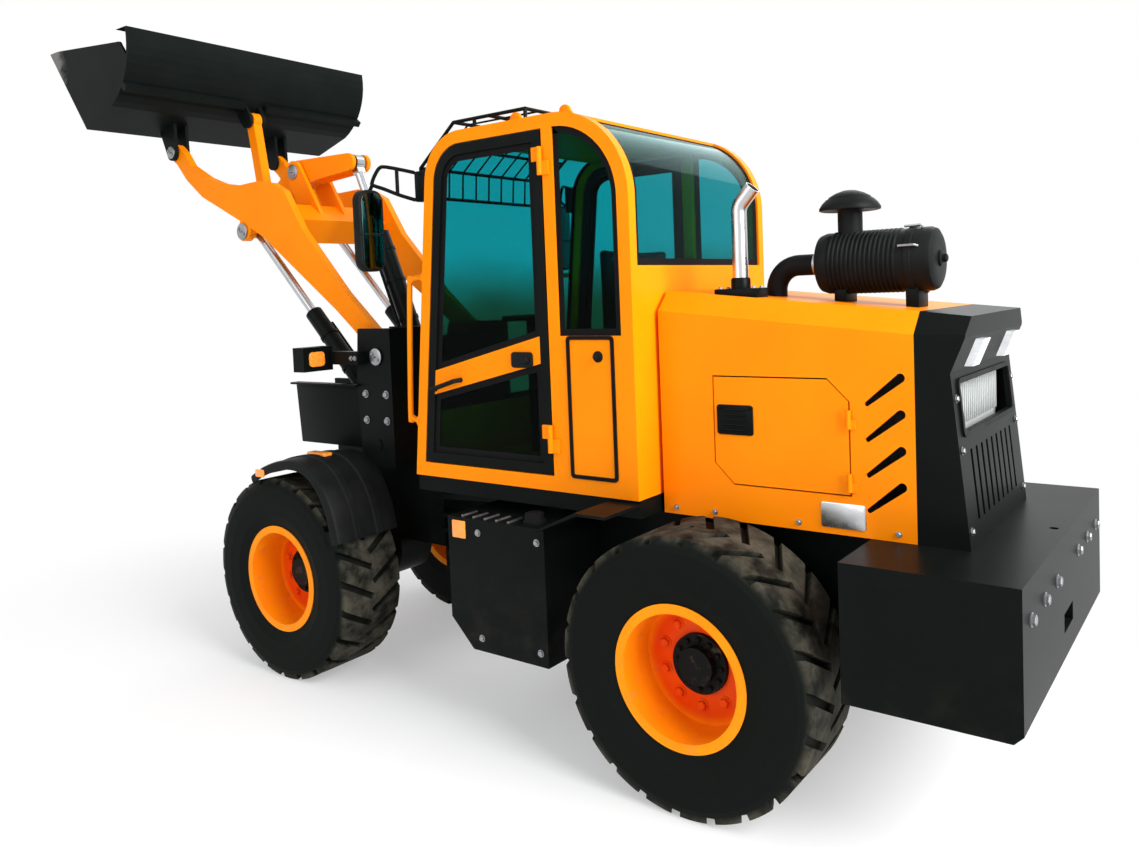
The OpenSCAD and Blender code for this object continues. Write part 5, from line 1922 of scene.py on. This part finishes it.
@dataclass
class Cylinder:
    """Oil pipe and bands of one hydraulic barrel."""

    body: str
    base: Point
    toward: Point
    length: float
    radius: float
    pipe_side: Point
    pipe_r: float = 0.009
    pipe: Line = ((0.16, 0.9), (0.16, 1.3), (0.22, 1.32), (0.84, 1.32), (0.9, 1.3), (0.9, 0.9))
    bands: Point = (0.25, 0.55, 0.8)
    band_t: float = 0.005
    band_w: float = 0.02

    def build(self, shelf: Shelf) -> None:
        """Makes the barrel's fittings.

        Args:
            shelf: Where the finishes are.
        """
        start = Vector(self.base)
        along = (Vector(self.toward) - start).normalized()
        out = Vector(self.pipe_side)
        out = (out - along * out.dot(along)).normalized()
        r, outer = self.radius, self.radius + self.band_t
        path = [tuple(start + along * (self.length * a) + out * (r * b)) for a, b in self.pipe]
        Form().bar(path, self.pipe_r).make(f"{self.body}_pipe", self.body, "black_paint", shelf)
        band = ((r, 0.0), (outer, 0.0), (outer, self.band_w), (r, self.band_w))
        collar = Form()
        for share in self.bands:
            collar.turned(band, tuple(start + along * (self.length * share)), tuple(along), 28, hollow=True)
        collar.make(f"{self.body}_bands", self.body, "black_paint", shelf)


@dataclass
class SeatCushion:
    """Crowned cushion, backrest and pedestal that stand for the plain CAD seat."""

    cushion_low: Point = (-0.555, -0.25, 1.507)
    cushion_high: Point = (-0.08, 0.25, 1.627)
    back_low: Point = (-0.615, -0.25, 1.6)
    back_high: Point = (-0.5, 0.25, 2.187)
    channels: Point = (-0.6, 0.0, 0.6)
    channel_w: float = 0.045
    corner: float = 0.03
    bellows_low: Pair = (-0.45, -0.125)
    bellows_high: Pair = (-0.19, 0.125)
    bellows_z: Pair = (1.177, 1.51)
    folds: int = 5
    fold_out: float = 0.012
    fold_edge: float = 0.008
    piping_in: float = 0.012
    piping_r: float = 0.005

    def build(self, shelf: Shelf) -> None:
        """Makes the seat and hides the CAD solid.

        Args:
            shelf: Where the finishes are.
        """
        pad = self._pad(self.cushion_low, self.cushion_high, 2)
        cushion = pad.make("seat_cushion", "rear", "seat_vinyl", shelf)
        back = self._pad(self.back_low, self.back_high, 0).make("seat_backrest", "rear", "seat_vinyl", shelf)
        base = self._pedestal().make("seat_pedestal", "rear", "black_plastic", shelf)
        self._piping().make("seat_piping", "rear", "hose_rubber", shelf)
        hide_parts("seat")
        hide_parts("seat")
        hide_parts("seat")

    def _pad(self, low: Point, high: Point, thin: int) -> Form:
        """A padded block with crowned broad faces, drawn-in sides and sewn channels.

        Args:
            low: Low corner.
            high: High corner.
            thin: Axis across the thin way.

        Returns:
            The form.
        """
        form = Form()
        bmesh.ops.create_cube(form.mesh, size=2.0)
        bmesh.ops.subdivide_edges(form.mesh, edges=form.mesh.edges[:], cuts=15, use_grid_fill=True)
        middle = (Vector(low) + Vector(high)) / 2
        half = (Vector(high) - Vector(low)) / 2
        for vert in form.mesh.verts:
            vert.co = self._padded(vert.co.copy(), half, thin) + middle
        form.outward(form.mesh.faces[:])
        return form

    def _padded(self, unit: Vector, half: Vector, thin: int) -> Vector:
        """Moves a point of the unit cube to the padded form.

        Args:
            unit: Point of the cube from -1 to 1.
            half: Half sizes of the pad.
            thin: Axis across the thin way.

        Returns:
            The point about the pad's middle.
        """
        broad = [axis for axis in range(3) if axis != thin]
        a, b = (unit[axis] for axis in broad)
        edge = max(abs(a), abs(b))
        swell = (1 - a**4) * (1 - b**4)
        seam = sum(math.exp(-(((b - place) / self.channel_w) ** 2)) for place in self.channels)
        point = Vector((0, 0, 0))
        for axis, other in zip(broad, reversed(broad)):
            drawn = 1 - 0.03 * (1 - unit[other] ** 2) - 0.05 * unit[thin] ** 2
            point[axis] = unit[axis] * half[axis] * drawn
        rise = 0.72 + 0.28 * swell - 0.1 * seam * swell
        point[thin] = unit[thin] * half[thin] * rise * (1 - 0.2 * edge**8)
        return point

    def _pedestal(self) -> Form:
        """Bellows under the cushion.

        Returns:
            The form.
        """
        form = Form()
        low, high = self.bellows_z
        for i in range(self.folds):
            z0, z1 = (low + (high - low) * k / self.folds for k in (i, i + 1))
            by = self.fold_out if i % 2 else 0.0
            outline = rounded(*grown(self.bellows_low, self.bellows_high, by), self.corner)
            form.plate(Plane.TOP, outline, z0, z1, self.fold_edge)
        return form

    def _piping(self) -> Form:
        """Sewn edge round the cushion's middle height.

        Returns:
            The form.
        """
        (x0, y0, z0), (x1, y1, z1) = self.cushion_low, self.cushion_high
        loop = rounded(*grown((x0, y0), (x1, y1), -self.piping_in), self.corner)
        return Form().bar([(x, y, (z0 + z1) / 2) for x, y in loop + loop[:1]], self.piping_r, 6)


@dataclass
class PhotoCamera:
    """The camera that took the photograph, fitted to the machine's wheels and cab."""

    place: Point = (-1.7769 - AXLE + PIVOT_X, 3.7395, 2.0003)
    yaw: float = -53.222
    pitch: float = -2.857
    roll: float = -2.248
    focal_px: float = 924.64
    width_px: float = 1138.0
    offset_px: Pair = (9.76, -85.28)
    sensor: float = 36.0

    def build(self) -> bpy.types.Object:
        """Makes the camera and sets it as the scene's.

        Returns:
            The camera object.
        """
        data = bpy.data.cameras.new("photo_camera")
        data.sensor_fit = "HORIZONTAL"
        data.sensor_width = self.sensor
        data.lens = self.focal_px * self.sensor / self.width_px
        data.shift_x = -self.offset_px[0] / self.width_px
        data.shift_y = self.offset_px[1] / self.width_px
        data.clip_end = 200.0
        yaw, pitch, roll = (math.radians(a) for a in (self.yaw, self.pitch, self.roll))
        ahead = Vector((math.cos(pitch) * math.cos(yaw), math.cos(pitch) * math.sin(yaw), math.sin(pitch)))
        right = ahead.cross(Vector((0, 0, 1))).normalized()
        up = right.cross(ahead)
        turned = right * math.cos(roll) + up * math.sin(roll)
        upright = -right * math.sin(roll) + up * math.cos(roll)
        camera = bpy.data.objects.new("photo_camera", data)
        axes = Matrix((turned, upright, -ahead)).transposed().to_4x4()
        camera.matrix_world = Matrix.Translation(Vector(self.place)) @ axes
        bpy.context.scene.collection.objects.link(camera)
        bpy.context.scene.camera = camera
        return camera


@dataclass
class Studio:
    """Pale floor, even sky and soft lamps."""

    floor_half: float = 60.0
    floor_colour: Colour = (0.93, 0.93, 0.925)
    sky: float = 0.55
    shadow_reach: Pair = (1.0, 2.6)
    shadow_narrow: float = 0.3
    shadow_fade: float = 0.35
    aim: Point = (0.0, 0.0, 1.4)
    lamps: tuple[tuple[str, Point, float, float], ...] = (
        ("key_lamp", (-9.5, 1.5, 6.0), 6.0, 1600.0),
        ("side_lamp", (1.0, 9.5, 5.0), 7.0, 270.0),
        ("far_lamp", (-1.0, -9.0, 8.0), 7.0, 300.0),
    )

    def build(self) -> None:
        """Makes the floor, the world and the lamps."""
        mesh = bpy.data.meshes.new("floor")
        h = self.floor_half
        mesh.from_pydata([(-h, -h, 0), (h, -h, 0), (h, h, 0), (-h, h, 0)], [], [(0, 1, 2, 3)])
        floor = bpy.data.objects.new("floor", mesh)
        bpy.context.scene.collection.objects.link(floor)
        mesh.materials.append(self._floor_paint())
        self._sky()
        for lamp in self.lamps:
            self._lamp(*lamp)

    def _floor_paint(self) -> bpy.types.Material:
        """Pale matt floor that shows white to the camera and keeps the shadow.

        Returns:
            The material.
        """
        g = Graph.of_material("pale_floor")
        cloud = g.noise(0.6, 3.0).ramp(0.3, 0.8)
        tone = g.mix(cloud * 0.3, self.floor_colour, scaled(self.floor_colour, 0.98))
        plain = g.node("ShaderNodeBsdfPrincipled", None, {"Base Color": tone, "Roughness": 0.9})["BSDF"]
        x, y, _ = g.place()
        far = (x * x * self.shadow_narrow + y * y).root().ramp(*self.shadow_reach)
        clear = self.shadow_fade + (1.0 - self.shadow_fade) * far
        seen = g.seen()
        white = g.node("ShaderNodeEmission", None, {"Color": (1.0, 1.0, 1.0), "Strength": 1.0})["Emission"]
        shown = g.node("ShaderNodeMixShader", None, {0: clear * seen, 1: plain, 2: white})[0]
        g.node("ShaderNodeOutputMaterial", None, {"Surface": shown})
        return g.material

    def _sky(self) -> None:
        """Even sky light, white where the camera, a reflection or glass looks at it."""
        world = bpy.data.worlds.new("studio_sky")
        bpy.context.scene.world = world
        world.use_nodes = True
        g = Graph(world.node_tree)
        seen = g.seen()
        even = g.node("ShaderNodeBackground", None, {"Color": (0.95, 0.97, 1.0), "Strength": self.sky})[0]
        white = g.node("ShaderNodeBackground", None, {"Color": (1.0, 1.0, 1.0), "Strength": 1.0})[0]
        shown = g.node("ShaderNodeMixShader", None, {0: seen, 1: even, 2: white})[0]
        g.node("ShaderNodeOutputWorld", None, {"Surface": shown})

    def _lamp(self, name: str, at: Point, size: float, power: float) -> None:
        """Adds one soft square lamp aimed at the machine.

        Args:
            name: The lamp's name.
            at: Its place.
            size: Its side length.
            power: Its power in watts.
        """
        data = bpy.data.lights.new(name, "AREA")
        data.size = size
        data.energy = power
        lamp = bpy.data.objects.new(name, data)
        lamp.location = at
        aim = Vector(self.aim) - Vector(at)
        lamp.rotation_euler = aim.to_track_quat("-Z", "Y").to_euler()
        bpy.context.scene.collection.objects.link(lamp)


def sub_assemblies() -> list[SubAssembly]:
    """The sub-assemblies whose fittings are added to the frame.

    Returns:
        One of each, and a cylinder for every barrel in view.
    """
    cylinders = [Cylinder("tilt_barrel", (0.95, 0.0, 1.69), (1.4217, 0.0, 2.8312), 0.8, 0.055, (0.3, 1, 0))]
    for side in Side:
        body, y = side_name("lift_barrel", side), side.value * LIFT_Y
        out = (0, -side.value, 0.3)
        cylinders.append(Cylinder(body, (0.8, y, 1.23), (2.0168, y, 2.4494), 1.0, 0.05, out))
    return [
        Wheels(), Cab(), RoofGuard(), Doors(), HoodTrim(), Grille(), AirCleaner(), Exhaust(), FrameBolts(),
        Flanks(), FrontFenders(), NosePlates(), GrabRails(), FrontLamps(), Mirrors(), Arms(), SeatCushion(),
        *cylinders,
    ]


def main() -> None:
    """Loads the frame, dresses it, adds the fittings and reports each piece."""
    logging.basicConfig(level=logging.INFO, format="%(message)s")
    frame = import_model()
    bpy.context.scene.view_settings.view_transform = "Standard"
    PhotoCamera().build()
    Studio().build()
    shelf = Shelf(FINISHES)
    for name, node in frame["nodes"].items():
        shelf.dress(node, node_finish(name))
    for part in sub_assemblies():
        part.build(shelf)
    for node, body in PANES.items():
        GlassBorder().build(node, body, frame, shelf)


if __name__ == "__main__":
    main()
